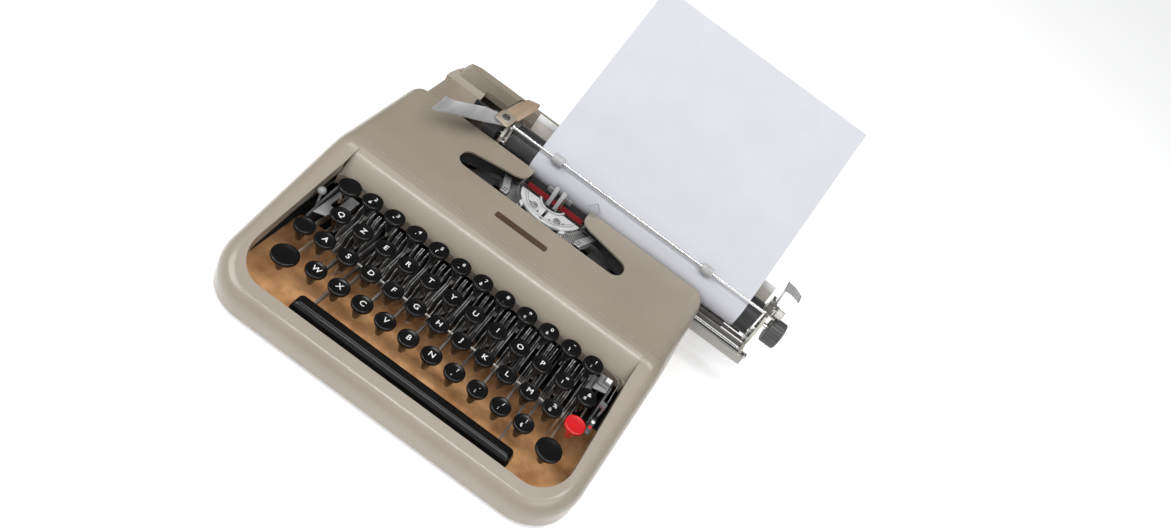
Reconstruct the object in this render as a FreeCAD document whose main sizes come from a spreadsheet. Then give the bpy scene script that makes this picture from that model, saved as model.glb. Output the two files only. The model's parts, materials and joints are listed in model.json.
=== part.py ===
"""A flat portable typewriter, built as an assembly of separate pieces.

Millimetres.  +X is the typist's right, +Y the machine's rear, +Z up.  The
origin is on the desk, under the middle of the case.  The carriage stands to
the right of the middle, as it does at the start of a line.
"""
import FreeCAD, Part
import Sketcher
import math
import os
import re

from FreeCAD import Placement, Rotation, Vector

X_AXIS = Vector(1, 0, 0)
Y_AXIS = Vector(0, 1, 0)
Z_AXIS = Vector(0, 0, 1)

# Driving sizes, kept in the document's spreadsheet under these names.
SIZES = {
    # case
    "case_half_width": 148, "case_half_depth": 162, "case_bottom": 5,
    "case_wall": 2.2, "front_corner_radius": 38, "rear_corner_radius": 24,
    "edge_round": 12, "rim_front_height": 19.4, "shoulder_y": -33,
    "shoulder_height": 68.7, "seam_y": -19, "step_y": 50, "groove_height": 43.4,
    "cheek_y": 77, "cheek_height": 48, "ridge_y": 150, "ridge_height": 64,
    "well_front_y": -147, "well_rear_y": -43, "well_front_half": 134.5,
    "well_rear_half": 128.5, "well_corner": 25, "lip_depth": 9,
    "trough_half_width": 111,
    # top cover
    "cover_rear_y": 74.5, "cover_top": 71.2, "cover_skirt": 57, "cover_sheet": 1.6,
    "slot_front_y": 26, "slot_half_length": 78,
    "print_x": 2, "ear_gap_half": 28,
    "badge_length": 47, "badge_depth": 6, "badge_sheet": 0.6, "badge_y": 0, "badge_corner": 1.5,
    # base
    "plate_sheet": 1.5, "plate_gap": 0.3, "felt_sheet": 2, "foot_radius": 9,
    "foot_x": 118, "foot_y": 126, "felt_half": 139, "felt_front_y": -154, "felt_rear_y": -56,
    "felt_front_corner": 30, "felt_rear_corner": 4,
    "base_screw_x": 96, "base_screw_y": 144, "base_screw_radius": 3.5, "base_screw_height": 1.6,
    # frames and fixed rails
    "frame_left_x": -125, "frame_right_x": 123.5, "frame_sheet": 1.5, "frame_foot": 8.5,
    "blade_half": 110, "blade_sheet": 3, "blade_tall": 14, "blade_front_top": 50.6,
    "blade_rear_top": 56.2,
    # keyboard
    "key_pitch": 19.55, "first_key_x": -99.1, "key_radius": 7.8,
    "key_thick": 4.6, "key_dish": 0.7, "key_lug_half": 1.9, "key_lug_drop": 1.6, "lever_sheet": 1.4,
    "fulcrum_y": 10, "fulcrum_height": 16, "fulcrum_radius": 2.5,
    "shift_key_radius": 10, "shift_key_x": 111,
    "bar_left": -87, "bar_right": 95, "bar_front_y": -145.5, "bar_rear_y": -130.5,
    "bar_top": 29.5,
    "comb_left": -86.6, "comb_right": 104.8, "comb_y": -84.8, "comb_z": 32.2, "comb_radius": 0.9,
    "comb_post": 1.4,
    # type basket
    "basket_centre_y": 68, "ring_outer": 29, "ring_inner": 11,
    "type_pivot_radius": 36, "type_length": 43, "type_height": 50,
    "strike_x": 1.8, "strike_pivot_y": 47, "strike_pivot_height": 20,
    "strike_length": 53, "strike_lift": 10,
    # ribbon
    "ribbon_y": 71.6, "ribbon_low": 55.4, "ribbon_high": 68.2, "ribbon_sheet": 0.3,
    "ribbon_middle_half": 27, "spool_left_x": -96, "spool_right_x": 100, "spool_y": 22,
    "spool_radius": 17.5, "spool_core": 12.5, "spool_post": 2, "cup_radius": 20, "cup_wall": 1.2,
    "cup_base": 52, "cup_height": 16, "spool_base": 53.8, "spool_flange": 0.8, "spool_width": 13.8,
    # carriage, where it stands
    "platen_y": 93, "platen_height": 69, "platen_radius": 15.5,
    "platen_left": -58.6, "platen_right": 189.5, "shaft_radius": 3,
    "knob_radius": 12, "rail_front_y": 62, "rail_front_depth": 7.5, "rail_rear_y": 122,
    "rail_left": -67, "rail_rear_end": 200, "rail_depth": 9,
    "bail_y": 82.5, "bail_height": 87.6, "bail_radius": 1.3,
    "bail_pivot_y": 81, "bail_pivot_height": 70, "bail_pin": 1.5, "roller_radius": 4.2,
    "feed_radius": 3.2, "feed_shaft_radius": 1.5, "feed_turn": 38,
    "paper_left": -33, "paper_width": 210, "paper_rise": 183,
    "paper_gap": 0.5, "paper_sheet": 0.3, "fit_gap": 0.05,
    "rail_front_top": 52.4, "rail_front_height": 8, "rail_rear_top": 58, "rail_rear_height": 7.6,
    "rail_groove": 4.2, "rail_cap": 1.5, "rack_depth": 2.4, "rack_low": 52, "rack_high": 58,
    "rack_pitch": 5.08, "rack_slot": 1.2, "knob_length": 13, "knob_round": 1.2, "knob_groove": 0.55,
    # inside the case
    "drum_x": -88, "drum_y": 98, "drum_radius": 17, "drum_height": 12, "drum_z": 22,
    "wheel_x": 20, "wheel_y": 98, "wheel_radius": 14, "wheel_sheet": 2, "wheel_z": 30,
    "bell_x": 80, "bell_y": 104, "bell_radius": 16, "bell_wall": 1.2, "bell_z": 22,
}

doc = FreeCAD.newDocument("typewriter")
sheet = doc.addObject("Spreadsheet::Sheet", "Sizes")
for row_number, (name, value) in enumerate(SIZES.items(), start=1):
    sheet.set("A%d" % row_number, name)
    sheet.set("B%d" % row_number, str(value))
    sheet.setAlias("B%d" % row_number, name)
doc.recompute()

NODES = []


def size(name):
    """A driving size, read from the sheet."""
    return float(sheet.get(name))


# ---------------------------------------------------------------- helpers
def point(x, y, z):
    return Vector(x, y, z)


def keep(label, shape):
    """Put a finished shape in the document as the sub-part called label."""
    node = doc.addObject("Part::Feature", label)
    node.Shape = shape
    node.Label = label
    NODES.append(node)
    return node


def keep_object(label, node):
    """Name a parametric object as a sub-part."""
    node.Label = label
    NODES.append(node)
    return node


def in_sheet(expression):
    """Write the sheet's name before each size that an expression names."""
    return re.sub(r"([a-z][a-z_]+)", r"Sizes.\1", str(expression))


def bind(node, **expressions):
    """Tie an object's properties, or the x, y and z of its place, to cells of the sheet."""
    for prop, expression in expressions.items():
        if prop in ("x", "y", "z"):
            node.setExpression(".Placement.Base." + prop, in_sheet(expression))
        else:
            node.setExpression(prop, in_sheet(expression))
    return node


def sheet_rod(name, x, y, z, radius, length, along=X_AXIS):
    """A round bar; by default it lies along X."""
    node = doc.addObject("Part::Cylinder", name)
    node.Placement = Placement(Vector(), Rotation(Z_AXIS, along))
    return bind(node, Radius=radius, Height=length, x=x, y=y, z=z)


def sheet_box(name, x, y, z, length, width, height):
    """A block from its lowest corner."""
    node = doc.addObject("Part::Box", name)
    return bind(node, Length=length, Width=width, Height=height, x=x, y=y, z=z)


def sheet_cut(name, base, tool):
    node = doc.addObject("Part::Cut", name)
    node.Base = base
    node.Tool = tool
    return node


def sheet_fuse(name, pieces):
    node = doc.addObject("Part::MultiFuse", name)
    node.Shapes = pieces
    node.Refine = True
    return node


def sheet_group(name, pieces):
    """Separate objects that share one node."""
    node = doc.addObject("Part::Compound", name)
    node.Links = pieces
    return node


def origin_part(body, role):
    """One of a body's own origin planes or axes."""
    return [part for part in body.Origin.OriginFeatures if part.Role == role][0]


def body_sketch(body, name, role, lift=0):
    """A sketch on one of its body's origin planes, lifted off it by a distance."""
    sketch = body.newObject("Sketcher::SketchObject", name)
    sketch.AttachmentSupport = [(origin_part(body, role), "")]
    sketch.MapMode = "FlatFace"
    sketch.AttachmentOffset = Placement(point(0, 0, lift), Rotation())
    return sketch


def draw_loop(sketch, corners):
    """Straight lines through the corners, joined end to end."""
    first = sketch.GeometryCount
    count = len(corners)
    for i, (a, b) in enumerate(corners):
        c, d = corners[(i + 1) % count]
        sketch.addGeometry(Part.LineSegment(Vector(a, b, 0), Vector(c, d, 0)))
    for i in range(count):
        sketch.addConstraint(Sketcher.Constraint("Coincident", first + i, 2, first + (i + 1) % count, 1))


def draw_circle(sketch, a, b, radius):
    sketch.addGeometry(Part.Circle(Vector(a, b, 0), Z_AXIS, radius))


def pad_sketch(body, sketch, name, length):
    pad = body.newObject("PartDesign::Pad", name)
    pad.Profile = sketch
    return bind(pad, Length=length)


def outline_body(name, role, corners, length, holes=()):
    """A plate padded from an outline, with round holes, on one of its own planes."""
    body = doc.addObject("PartDesign::Body", name + "_body")
    sketch = body_sketch(body, name + "_outline", role)
    draw_loop(sketch, corners)
    for a, b, radius in holes:
        draw_circle(sketch, a, b, radius)
    pad_sketch(body, sketch, name + "_pad", length)
    return body


def plate_body(name, x, y, z, length, width, height):
    """A plate padded up from a rectangle whose sides are tied to the sheet."""
    body = doc.addObject("PartDesign::Body", name + "_body")
    sketch = body_sketch(body, name + "_outline", "XY_Plane")
    draw_loop(sketch, [(0, 0), (20, 0), (20, 10), (0, 10)])
    for line, turn in ((0, "Horizontal"), (1, "Vertical"), (2, "Horizontal"), (3, "Vertical")):
        sketch.addConstraint(Sketcher.Constraint(turn, line))
    sketch.addConstraint(Sketcher.Constraint("Coincident", 0, 1, -1, 1))
    along = sketch.addConstraint(Sketcher.Constraint("DistanceX", 0, 1, 0, 2, 20))
    across = sketch.addConstraint(Sketcher.Constraint("DistanceY", 1, 1, 1, 2, 10))
    sketch.setExpression("Constraints[%d]" % along, in_sheet(length))
    sketch.setExpression("Constraints[%d]" % across, in_sheet(width))
    pad_sketch(body, sketch, name + "_pad", height)
    return bind(body, x=x, y=y, z=z)


def round_corners(body, name, radius, rear):
    """Round the two upright edges at a plate's front, or at its rear."""
    doc.recompute()
    shape = body.Tip.Shape
    middle = shape.BoundBox.Center.y
    picked = ["Edge%d" % i for i, edge in enumerate(shape.Edges, start=1)
              if edge.BoundBox.ZLength > 0.1 and edge.BoundBox.XLength < 0.01
              and edge.BoundBox.YLength < 0.01 and (edge.BoundBox.Center.y > middle) == rear]
    fillet = body.newObject("PartDesign::Fillet", name)
    fillet.Base = (body.Tip if body.Tip != fillet else fillet.BaseFeature, picked)
    return bind(fillet, Radius=radius)


def repeat(body, name, features, axis, length, count):
    """Repeat features of a body in a straight row."""
    pattern = body.newObject("PartDesign::LinearPattern", name)
    pattern.Originals = features
    pattern.Direction = (origin_part(body, axis), [""])
    bind(pattern, Length=length)
    pattern.Occurrences = count
    body.Tip = pattern
    return pattern


def repeat_round(body, name, features, axis, count):
    """Repeat features of a body round one of its axes."""
    pattern = body.newObject("PartDesign::PolarPattern", name)
    pattern.Originals = features
    pattern.Axis = (origin_part(body, axis), [""])
    pattern.Angle = 360
    pattern.Occurrences = count
    body.Tip = pattern
    return pattern


def box(x0, x1, y0, y1, z0, z1):
    return Part.makeBox(x1 - x0, y1 - y0, z1 - z0, point(x0, y0, z0))


def rod(radius, start, end):
    """A round bar between two points."""
    run = end - start
    return Part.makeCylinder(radius, run.Length, start, run)


def polygon(points):
    return Part.makePolygon(list(points) + [points[0]])


def side_plate(outline, x0, x1):
    """Extrude an outline drawn in (y, z) along X."""
    face = Part.Face(polygon([point(x0, y, z) for y, z in outline]))
    return face.extrude(point(x1 - x0, 0, 0))


def flat_plate(outline, z0, z1):
    """Extrude an outline drawn in (x, y) along Z."""
    face = Part.Face(polygon([point(x, y, z0) for x, y in outline]))
    return face.extrude(point(0, 0, z1 - z0))


def rounded_wire(corners, z):
    """A closed wire through (x, y, radius) corners, rounded at each."""
    edges = []
    ends = []
    count = len(corners)
    for i in range(count):
        x, y, radius = corners[i]
        here = point(x, y, z)
        before = point(corners[i - 1][0], corners[i - 1][1], z) - here
        after = point(corners[(i + 1) % count][0], corners[(i + 1) % count][1], z) - here
        half = before.getAngle(after) / 2
        reach = radius / math.tan(half)
        before.normalize()
        after.normalize()
        inward = before + after
        inward.normalize()
        middle = here + inward * (radius / math.sin(half) - radius)
        ends.append((here + before * reach, middle, here + after * reach))
    for i in range(count):
        start, middle, end = ends[i]
        edges.append(Part.Arc(start, middle, end).toShape())
        edges.append(Part.makeLine(end, ends[(i + 1) % count][0]))
    return Part.Wire(edges)


def rounded_prism(corners, z0, z1):
    return Part.Face(rounded_wire(corners, z0)).extrude(point(0, 0, z1 - z0))


def fuse(shapes):
    first = shapes[0]
    if len(shapes) == 1:
        return first
    return first.multiFuse(shapes[1:]).removeSplitter()


def group(shapes):
    """Separate solids that share one node."""
    return Part.makeCompound(shapes)


# ---------------------------------------------------------------- case
def case_plan(inset):
    half = size("case_half_width") - inset
    depth = size("case_half_depth") - inset
    front = size("front_corner_radius") - inset
    rear = size("rear_corner_radius") - inset
    return [(-half, -depth, front), (half, -depth, front), (half, depth, rear), (-half, depth, rear)]


def top_profile(drop, rear_y):
    """The case's top line from the front rim to the deck, lowered by drop."""
    deck = size("cover_top") - drop
    shoulder = point(0, size("shoulder_y"), size("shoulder_height") - drop)
    crown = point(0, (size("shoulder_y") + size("seam_y")) / 2, deck - 0.6)
    seam = point(0, size("seam_y"), deck)
    front = point(0, -size("case_half_depth") - 5, size("rim_front_height") - drop)
    bottom = point(0, front.y, -20)
    back = point(0, rear_y, deck)
    edges = [
        Part.makeLine(bottom, front),
        Part.makeLine(front, shoulder),
        Part.Arc(shoulder, crown, seam).toShape(),
        Part.makeLine(seam, back),
        Part.makeLine(back, point(0, rear_y, -20)),
        Part.makeLine(point(0, rear_y, -20), bottom),
    ]
    return Part.Face(Part.Wire(edges))


def round_top_edges(solid, radius, lowest):
    """Round the edges between the upright walls and the top faces."""
    rim = []
    for edge in solid.Edges:
        box_of = edge.BoundBox
        if box_of.ZMin < lowest or edge.Length < 1:
            continue
        faces = solid.ancestorsOfType(edge, Part.Face)
        upright = [f for f in faces if abs(f.normalAt(*f.Surface.parameter(f.CenterOfMass)).z) < 0.02]
        if len(upright) == 1 and len(faces) == 2:
            rim.append(edge)
    return solid.makeFillet(radius, rim)


def case_body(inset):
    """The solid that the case fills, or with an inset the space inside it."""
    drop = inset
    rear_y = size("step_y") - inset
    bottom = size("case_bottom") - (inset and 5)
    half = size("case_half_width") + 10
    plan = rounded_prism(case_plan(inset), bottom, 90)
    hump_tool = top_profile(drop, rear_y).extrude(point(2 * half, 0, 0))
    hump_tool.translate(point(-half, 0, 0))
    hump = plan.common(hump_tool)
    groove = size("groove_height") - drop
    cheek = size("cheek_height") - drop
    ridge = size("ridge_height") - drop
    ridge_y = size("ridge_y") + inset
    cheek_outline = [(-20, -20), (-20, groove), (size("cheek_y") + inset, groove),
                     (size("cheek_y") + 1 + inset, cheek), (ridge_y - 3, cheek), (ridge_y - 3, -20)]
    ridge_outline = [(ridge_y - 9, -20), (ridge_y - 9, cheek), (ridge_y - 3, cheek + 3),
                     (ridge_y, ridge - 3), (ridge_y + 1, ridge), (170, ridge), (170, -20)]
    side = size("case_half_width") - inset
    turn = 6
    cheek_section = [(-side, -20), (-side, cheek - turn), (-side + turn / 3, cheek - turn / 3),
                     (-side + turn, cheek), (side - turn, cheek), (side - turn / 3, cheek - turn / 3),
                     (side, cheek - turn), (side, -20)]
    section_face = Part.Face(polygon([point(x, -30, z) for x, z in cheek_section]))
    cheeks = plan.common(side_plate(cheek_outline, -half, half))
    cheeks = cheeks.common(section_face.extrude(point(0, 240, 0)))
    rear = (cheeks, plan.common(side_plate(ridge_outline, -half, half)))
    return hump, rear


def well_corners(grow):
    front_half = size("well_front_half") + grow
    rear_half = size("well_rear_half") + grow
    front_y = size("well_front_y") - grow
    rear_y = size("well_rear_y") + grow
    corner = size("well_corner") + grow
    return [(-front_half, front_y, corner), (front_half, front_y, corner),
            (rear_half, rear_y, 5 + grow), (-rear_half, rear_y, 5 + grow)]


def keyboard_bevel(shift):
    """Cuts the band that rolls down from the shoulder to the rear edge of the well."""
    rear = size("well_rear_y")
    crown = point(0, -25 + shift, 71)
    waist = point(0, -35 + shift / 2, 64.4 - shift)
    foot = point(0, rear + shift, 54 - shift)
    low = point(0, rear - 40, 54 - shift - 14)
    high = point(0, rear - 40, 95)
    back = point(0, -25 + shift, 95)
    wire = Part.Wire([
        Part.Arc(crown, waist, foot).toShape(),
        Part.makeLine(foot, low),
        Part.makeLine(low, high),
        Part.makeLine(high, back),
        Part.makeLine(back, crown),
    ])
    half = size("well_rear_half")
    tool = Part.Face(wire).extrude(point(2 * half, 0, 0))
    return tool.translated(point(-half, 0, 0))


def make_case():
    hump, rear = case_body(0)
    hump = round_top_edges(hump, size("edge_round"), 12)
    cheeks, ridge = rear
    outer = fuse([hump, cheeks, round_top_edges(ridge, 5, 60)])
    inner_hump, inner_rear = case_body(size("case_wall"))
    inner_hump = round_top_edges(inner_hump, size("edge_round") - size("case_wall"), 12)
    inner = fuse([inner_hump, *inner_rear])
    bevel = keyboard_bevel(0)
    outer = outer.cut(bevel)
    wall = outer.cut(inner.cut(keyboard_bevel(size("case_wall"))))
    ring = rounded_prism(well_corners(2), 0, 90).cut(rounded_prism(well_corners(0), -1, 91))
    below = outer.translated(point(0, 0, -size("lip_depth")))
    lip = ring.common(outer).cut(below)
    shell = wall.fuse(lip).cut(rounded_prism(well_corners(0), 2, 90))
    half = size("trough_half_width")
    over = box(-160, 160, size("seam_y"), size("step_y") + 20, size("cover_skirt") - 0.2, 90)
    trough = box(-half, half, size("step_y") - 4, size("ridge_y") - 2, 30, 90)
    step = box(-131, 131, size("step_y") - 6, size("step_y") + 1, 46, 90)
    shell = shell.cut(over).cut(fuse([step, trough]))
    solids = sorted(shell.Solids, key=lambda s: s.Volume)
    keep("body_shell", solids[-1])


def long_top_edges(solid, half, top):
    """The two edges along Y where a block's sides meet its top."""
    return [e for e in solid.Edges if e.BoundBox.ZMin > top - 1 and abs(e.BoundBox.XMin) > half - 1
            and e.BoundBox.XLength < 1]


def make_cover():
    """The flat top cover with its typing slot, open at the rear edge."""
    half = size("case_half_width")
    front = size("seam_y") + 0.3
    rear = size("cover_rear_y")
    top = size("cover_top")
    under = top - size("cover_sheet")
    skirt = size("cover_skirt")
    outer = box(-half, half, front, rear, skirt, top)
    outer = outer.makeFillet(size("edge_round"), long_top_edges(outer, half, top))
    inner_half = half - size("cover_sheet")
    inner = box(-inner_half, inner_half, front - 1, rear + 1, skirt - 1, under)
    inner_round = size("edge_round") - size("cover_sheet")
    inner = inner.makeFillet(inner_round, long_top_edges(inner, inner_half, under))
    plan = rounded_prism([(-half - 1, front - 1, 1), (half + 1, front - 1, 1),
                          (half, rear, 14), (-half, rear, 14)], skirt - 2, top + 2)
    skin = outer.cut(inner).common(plan)
    mid = size("print_x")
    reach = size("slot_half_length")
    slot_front = size("slot_front_y")
    slot = rounded_prism([(mid - reach, slot_front, 9), (mid + reach, slot_front, 9),
                          (mid + reach, slot_front + 19, 9), (mid + 40, slot_front + 28, 30),
                          (mid, slot_front + 32, 8), (mid - 40, slot_front + 28, 30),
                          (mid - reach, slot_front + 19, 9)], under - 1, top + 1)
    gap = size("ear_gap_half")
    throat = rounded_prism([(mid - gap - 14, slot_front + 26, 1), (mid + gap + 14, slot_front + 26, 1),
                            (mid + gap, slot_front + 33, 9), (mid + gap, rear + 6, 1),
                            (mid - gap, rear + 6, 1), (mid - gap, slot_front + 33, 9)], under - 1, top + 1)
    skin = skin.cut(fuse([slot, throat]))
    roll = size("cover_sheet") / 2
    flat_half = half - size("edge_round")
    skin = skin.cut(box(-flat_half, flat_half, front - 1, front + roll, under - 1, top + 1))
    roll_end = point(flat_half, front + roll, top - roll)
    hinge_edge = rod(roll, roll_end - point(2 * flat_half, 0, 0), roll_end)
    skin = skin.fuse(hinge_edge)
    stiffener = box(-110, 110, front + 6, front + 8, under - 4, under)
    keep("top_cover", fuse([skin, stiffener]))
    badge = plate_body("badge", "-badge_length / 2", "badge_y", "cover_top", "badge_length", "badge_depth",
                       "badge_sheet")
    round_corners(badge, "badge_front_corners", "badge_corner", False)
    round_corners(badge, "badge_rear_corners", "badge_corner", True)
    keep_object("badge_plate", badge)


def make_base():
    wall = "case_wall + plate_gap"
    floor = "case_bottom + plate_sheet"
    plate = plate_body("base", "-case_half_width + " + wall, "-case_half_depth + " + wall, "case_bottom",
                       "2 * case_half_width - 2 * (%s)" % wall, "2 * case_half_depth - 2 * (%s)" % wall,
                       "plate_sheet")
    round_corners(plate, "base_front_corners", "front_corner_radius - case_wall - plate_gap", False)
    round_corners(plate, "base_rear_corners", "rear_corner_radius - case_wall - plate_gap", True)
    keep_object("base_plate", plate)
    felt = plate_body("felt_mat", "-felt_half", "felt_front_y", floor, "2 * felt_half",
                      "felt_rear_y - felt_front_y", "felt_sheet")
    round_corners(felt, "felt_front_corners", "felt_front_corner", False)
    round_corners(felt, "felt_rear_corners", "felt_rear_corner", True)
    keep_object("felt_pad", felt)
    feet = []
    screws = []
    for side, end in ((-1, -1), (-1, 1), (1, -1), (1, 1)):
        foot = doc.addObject("Part::Cone", "foot")
        bind(foot, Radius1="foot_radius - 1", Radius2="foot_radius", Height="case_bottom",
             x="%d * foot_x" % side, y="%d * foot_y" % end)
        feet.append(foot)
        screws.append(sheet_rod("base_screw", "%d * base_screw_x" % side, "%d * base_screw_y" % end,
                                "case_bottom - base_screw_height", "base_screw_radius",
                                "base_screw_height", Z_AXIS))
    keep_object("rubber_feet", sheet_group("feet", feet))
    keep_object("base_screws", sheet_group("screws", screws))


def side_frame(side, x):
    """One side frame with its two windows, foot and bracket."""
    name = "left" if side < 0 else "right"
    floor = size("case_bottom") + size("plate_sheet")
    base = "case_bottom + plate_sheet"
    outline = [(-46, floor), (138, floor), (138, 40), (46, 40), (30, 58), (-12, 58), (-40, 40), (-46, 38)]
    shaft_hole = (size("fulcrum_y"), size("fulcrum_height"), size("fulcrum_radius") + 0.02)
    sheet_plate = bind(outline_body(name + "_frame", "YZ_Plane", outline, "frame_sheet", [shaft_hole]), x=x)
    windows = [sheet_box(name + "_window", x + " - 1", y, 12, "frame_sheet + 2", depth, 20)
               for y, depth in ((24, 36), (74, 52))]
    cut = sheet_cut(name + "_frame_cut", sheet_plate, sheet_group(name + "_windows", windows))
    foot_x = x + " + frame_sheet" if side < 0 else x + " - frame_foot"
    foot = sheet_box(name + "_frame_foot", foot_x, -40, base, "frame_foot", 170, "frame_sheet")
    ear = [(-86, 26), (-84, 40), (-70, 45), (-52, 49), (-46, 48), (-44.5, 42), (-40, 40), (-40, 30),
           (-60, 26)]
    ear_x = x + (" + frame_sheet" if side < 0 else " - frame_sheet")
    bracket = bind(outline_body(name + "_bracket", "YZ_Plane", ear, "frame_sheet"), x=ear_x)
    return [cut, foot, bracket]


def make_frames():
    """Two side frames, the fixed carriage rails and the key lever shaft."""
    base = "case_bottom + plate_sheet"
    selector_pin = sheet_rod("selector_pin", 121.6, -77, 38, 1.5, 5.2)
    release_pin = sheet_rod("release_pin", -125.9, -70, 32, 1.5, 4.1)
    left = sheet_fuse("left_side", side_frame(-1, "frame_left_x") + [release_pin])
    right = sheet_fuse("right_side", side_frame(1, "frame_right_x") + [selector_pin])
    keep_object("side_frames", sheet_group("frames", [left, right]))
    shaft = sheet_rod("lever_shaft", -127, "fulcrum_y", "fulcrum_height", "fulcrum_radius", 254)
    keep_object("key_lever_shaft", shaft)
    rails = []
    for end in ("front", "rear"):
        depth = "rail_front_depth" if end == "front" else "rail_depth"
        middle = "rail_%s_y + %s / 2" % (end, depth)
        leg_top = "blade_%s_top - blade_tall" % end
        pieces = [sheet_box(end + "_blade", "-blade_half", middle + " - blade_sheet / 2", leg_top,
                            "2 * blade_half", "blade_sheet", "blade_tall")]
        for side in (-1, 1):
            leg = "%d * (blade_half - 1)" % side
            pieces.append(sheet_box(end + "_leg", leg + " - blade_sheet / 2", middle + " - 5", base,
                                    "blade_sheet", 10, leg_top + " - case_bottom - plate_sheet"))
            pieces.append(sheet_box(end + "_leg_foot", leg + " - 6", middle + " - 5", base, 12, 10,
                                    "plate_sheet"))
        rails.append(sheet_fuse(end + "_fixed_rail", pieces))
    keep_object("fixed_rails", sheet_group("rails", rails))


# ---------------------------------------------------------------- keyboard
ROWS = {
    # name: (first key in pitches, key count, y, height of the key tops, height of the levers)
    "number": (0.292, 11, -55.0, 62.4, 45),
    "upper": (-0.22, 12, -74.9, 52.3, 37),
    "home": (0.0, 11, -95.0, 44.2, 29),
    "lower": (0.503, 10, -114.3, 36.1, 24),
}


def keytop_body(name, radius):
    """A round dished cap with the lug at its front, its top at the body's origin."""
    thick = size("key_thick")
    dish = size("key_dish")
    chamfer = 1.4
    rim = radius - 0.7
    body = doc.addObject("PartDesign::Body", name + "_body")
    sketch = body_sketch(body, name + "_profile", "XZ_Plane")
    corners = [(0, -dish), (0, -thick), (radius - 1.6, -thick), (radius, chamfer - thick), (rim, 0)]
    for (a, b), (c, d) in zip(corners, corners[1:]):
        sketch.addGeometry(Part.LineSegment(Vector(a, b, 0), Vector(c, d, 0)))
    dish_radius = (rim ** 2 + dish ** 2) / (2 * dish)
    dish_circle = Part.Circle(Vector(0, dish_radius - dish, 0), Z_AXIS, dish_radius)
    rim_turn = math.asin(rim / dish_radius)
    sketch.addGeometry(Part.ArcOfCircle(dish_circle, -math.pi / 2, rim_turn - math.pi / 2))
    cap = body.newObject("PartDesign::Revolution", name + "_cap")
    cap.Profile = sketch
    cap.ReferenceAxis = (sketch, ["V_Axis"])
    cap.Angle = 360
    half = size("key_lug_half")
    base = body_sketch(body, name + "_lug_outline", "XY_Plane", -thick - size("key_lug_drop"))
    draw_loop(base, [(-half, -radius - 1.4), (half, -radius - 1.4), (half, -1.7), (-half, -1.7)])
    lug = pad_sketch(body, base, name + "_lug", "key_lug_drop")
    return body, [cap, lug]


def keytop_at(name, x, y, top, radius):
    return bind(keytop_body(name, radius)[0], x=x, y=y, z=top)


def lever_body(name, key_y, low, top, plate_height=4.5):
    """A flat lever from the shaft to under a key, with its upright stem."""
    y = size("fulcrum_y")
    z = size("fulcrum_height")
    half = plate_height / 2
    outline = [(y + 5, z - 5), (y + 5, z + 5), (y - 3, z + 5.5), (key_y + 4, low + half),
               (key_y + 1.6, top), (key_y - 1.6, top), (key_y - 2.2, low - half), (y - 4, z - 5)]
    bore = (y, z, size("fulcrum_radius") + size("fit_gap"))
    return outline_body(name, "YZ_Plane", outline, "lever_sheet", [bore])


def lever_at(name, x, key_y, low, top):
    return bind(lever_body(name, key_y, low, top), x="%s - lever_sheet / 2" % x)


def make_rows():
    """Each row is one key and one lever, repeated along X at the keys' pitch."""
    for name, (first, count, y, top, low) in ROWS.items():
        start = "first_key_x + key_pitch * %s" % first
        run = "key_pitch * %d" % (count - 1)
        keys, features = keytop_body("keytop_" + name, size("key_radius"))
        repeat(keys, "keytop_row_" + name, features, "X_Axis", run, count)
        keep_object("keytops_" + name, bind(keys, x=start, y=y, z=top))
        levers = lever_body("lever_" + name, y, low, top - size("key_thick"))
        repeat(levers, "lever_row_" + name, [levers.Tip], "X_Axis", run, count)
        keep_object("levers_" + name, bind(levers, x=start + " - lever_sheet / 2"))


def make_other_keys():
    """The keys at the ends of the rows, each with a lever of its own, and the space bar."""
    drop = size("key_thick")
    small = size("key_radius")
    big = size("shift_key_radius")
    for label, x, y, top, radius, stem_x, low in (
            ("shift_left_key", -size("shift_key_x"), -120, 36.4, big, -111, 24),
            ("shift_right_key", size("shift_key_x"), -120, 36.4, big, 108.2, 24),
            ("shift_lock_key", -117, -94, 43, small, -118.2, 30),
            ("backspace_key", -112, -57, 62.4, 8.6, -115, 45),
            ("tabulator_key", 116, -95, 44.2, 8, 117.4, 31)):
        cap = keytop_at(label + "_top", x, y, top, radius)
        stem = lever_at(label + "_lever", stem_x, y, low, top - drop)
        keep_object(label, sheet_group(label + "_pair", [cap, stem]))
    front = size("bar_front_y")
    rear = size("bar_rear_y")
    high = size("bar_top")
    under = high - 8.5
    section = [(front + 2.5, under), (front, high - 5.5), (front + 3, high - 1.5),
               ((front + rear) / 2, high), (rear - 1, high - 0.8), (rear, high - 3), (rear - 2, under)]
    bar = bind(outline_body("bar", "YZ_Plane", section, "bar_right - bar_left"), x="bar_left")
    doc.recompute()
    pad = bar.Tip
    ends = ["Edge%d" % i for i, edge in enumerate(pad.Shape.Edges, start=1)
            if edge.BoundBox.XLength < 0.01 and edge.BoundBox.ZMax > high - 6]
    chamfer = bar.newObject("PartDesign::Chamfer", "bar_ends")
    chamfer.Base = (pad, ends)
    chamfer.Size = 2.2
    arms = [lever_at("bar_arm", x, -138, 18, under) for x in (-76.7, 79.7)]
    keep_object("space_bar", sheet_group("bar_and_arms", [bar, *arms]))


def make_comb():
    """The thin bar that the key levers rise against, on its two posts."""
    floor = "case_bottom + plate_sheet + felt_sheet"
    bar = sheet_rod("comb_bar", "comb_left - comb_post / 2", "comb_y", "comb_z", "comb_radius",
                    "comb_right - comb_left + comb_post")
    posts = [sheet_box("comb_post_piece", x + " - comb_post / 2", "comb_y - 2", floor, "comb_post", 4,
                       "comb_z + 1 - case_bottom - plate_sheet - felt_sheet")
             for x in ("comb_left", "comb_right")]
    keep_object("lever_comb", sheet_fuse("comb", [bar, *posts]))


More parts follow.
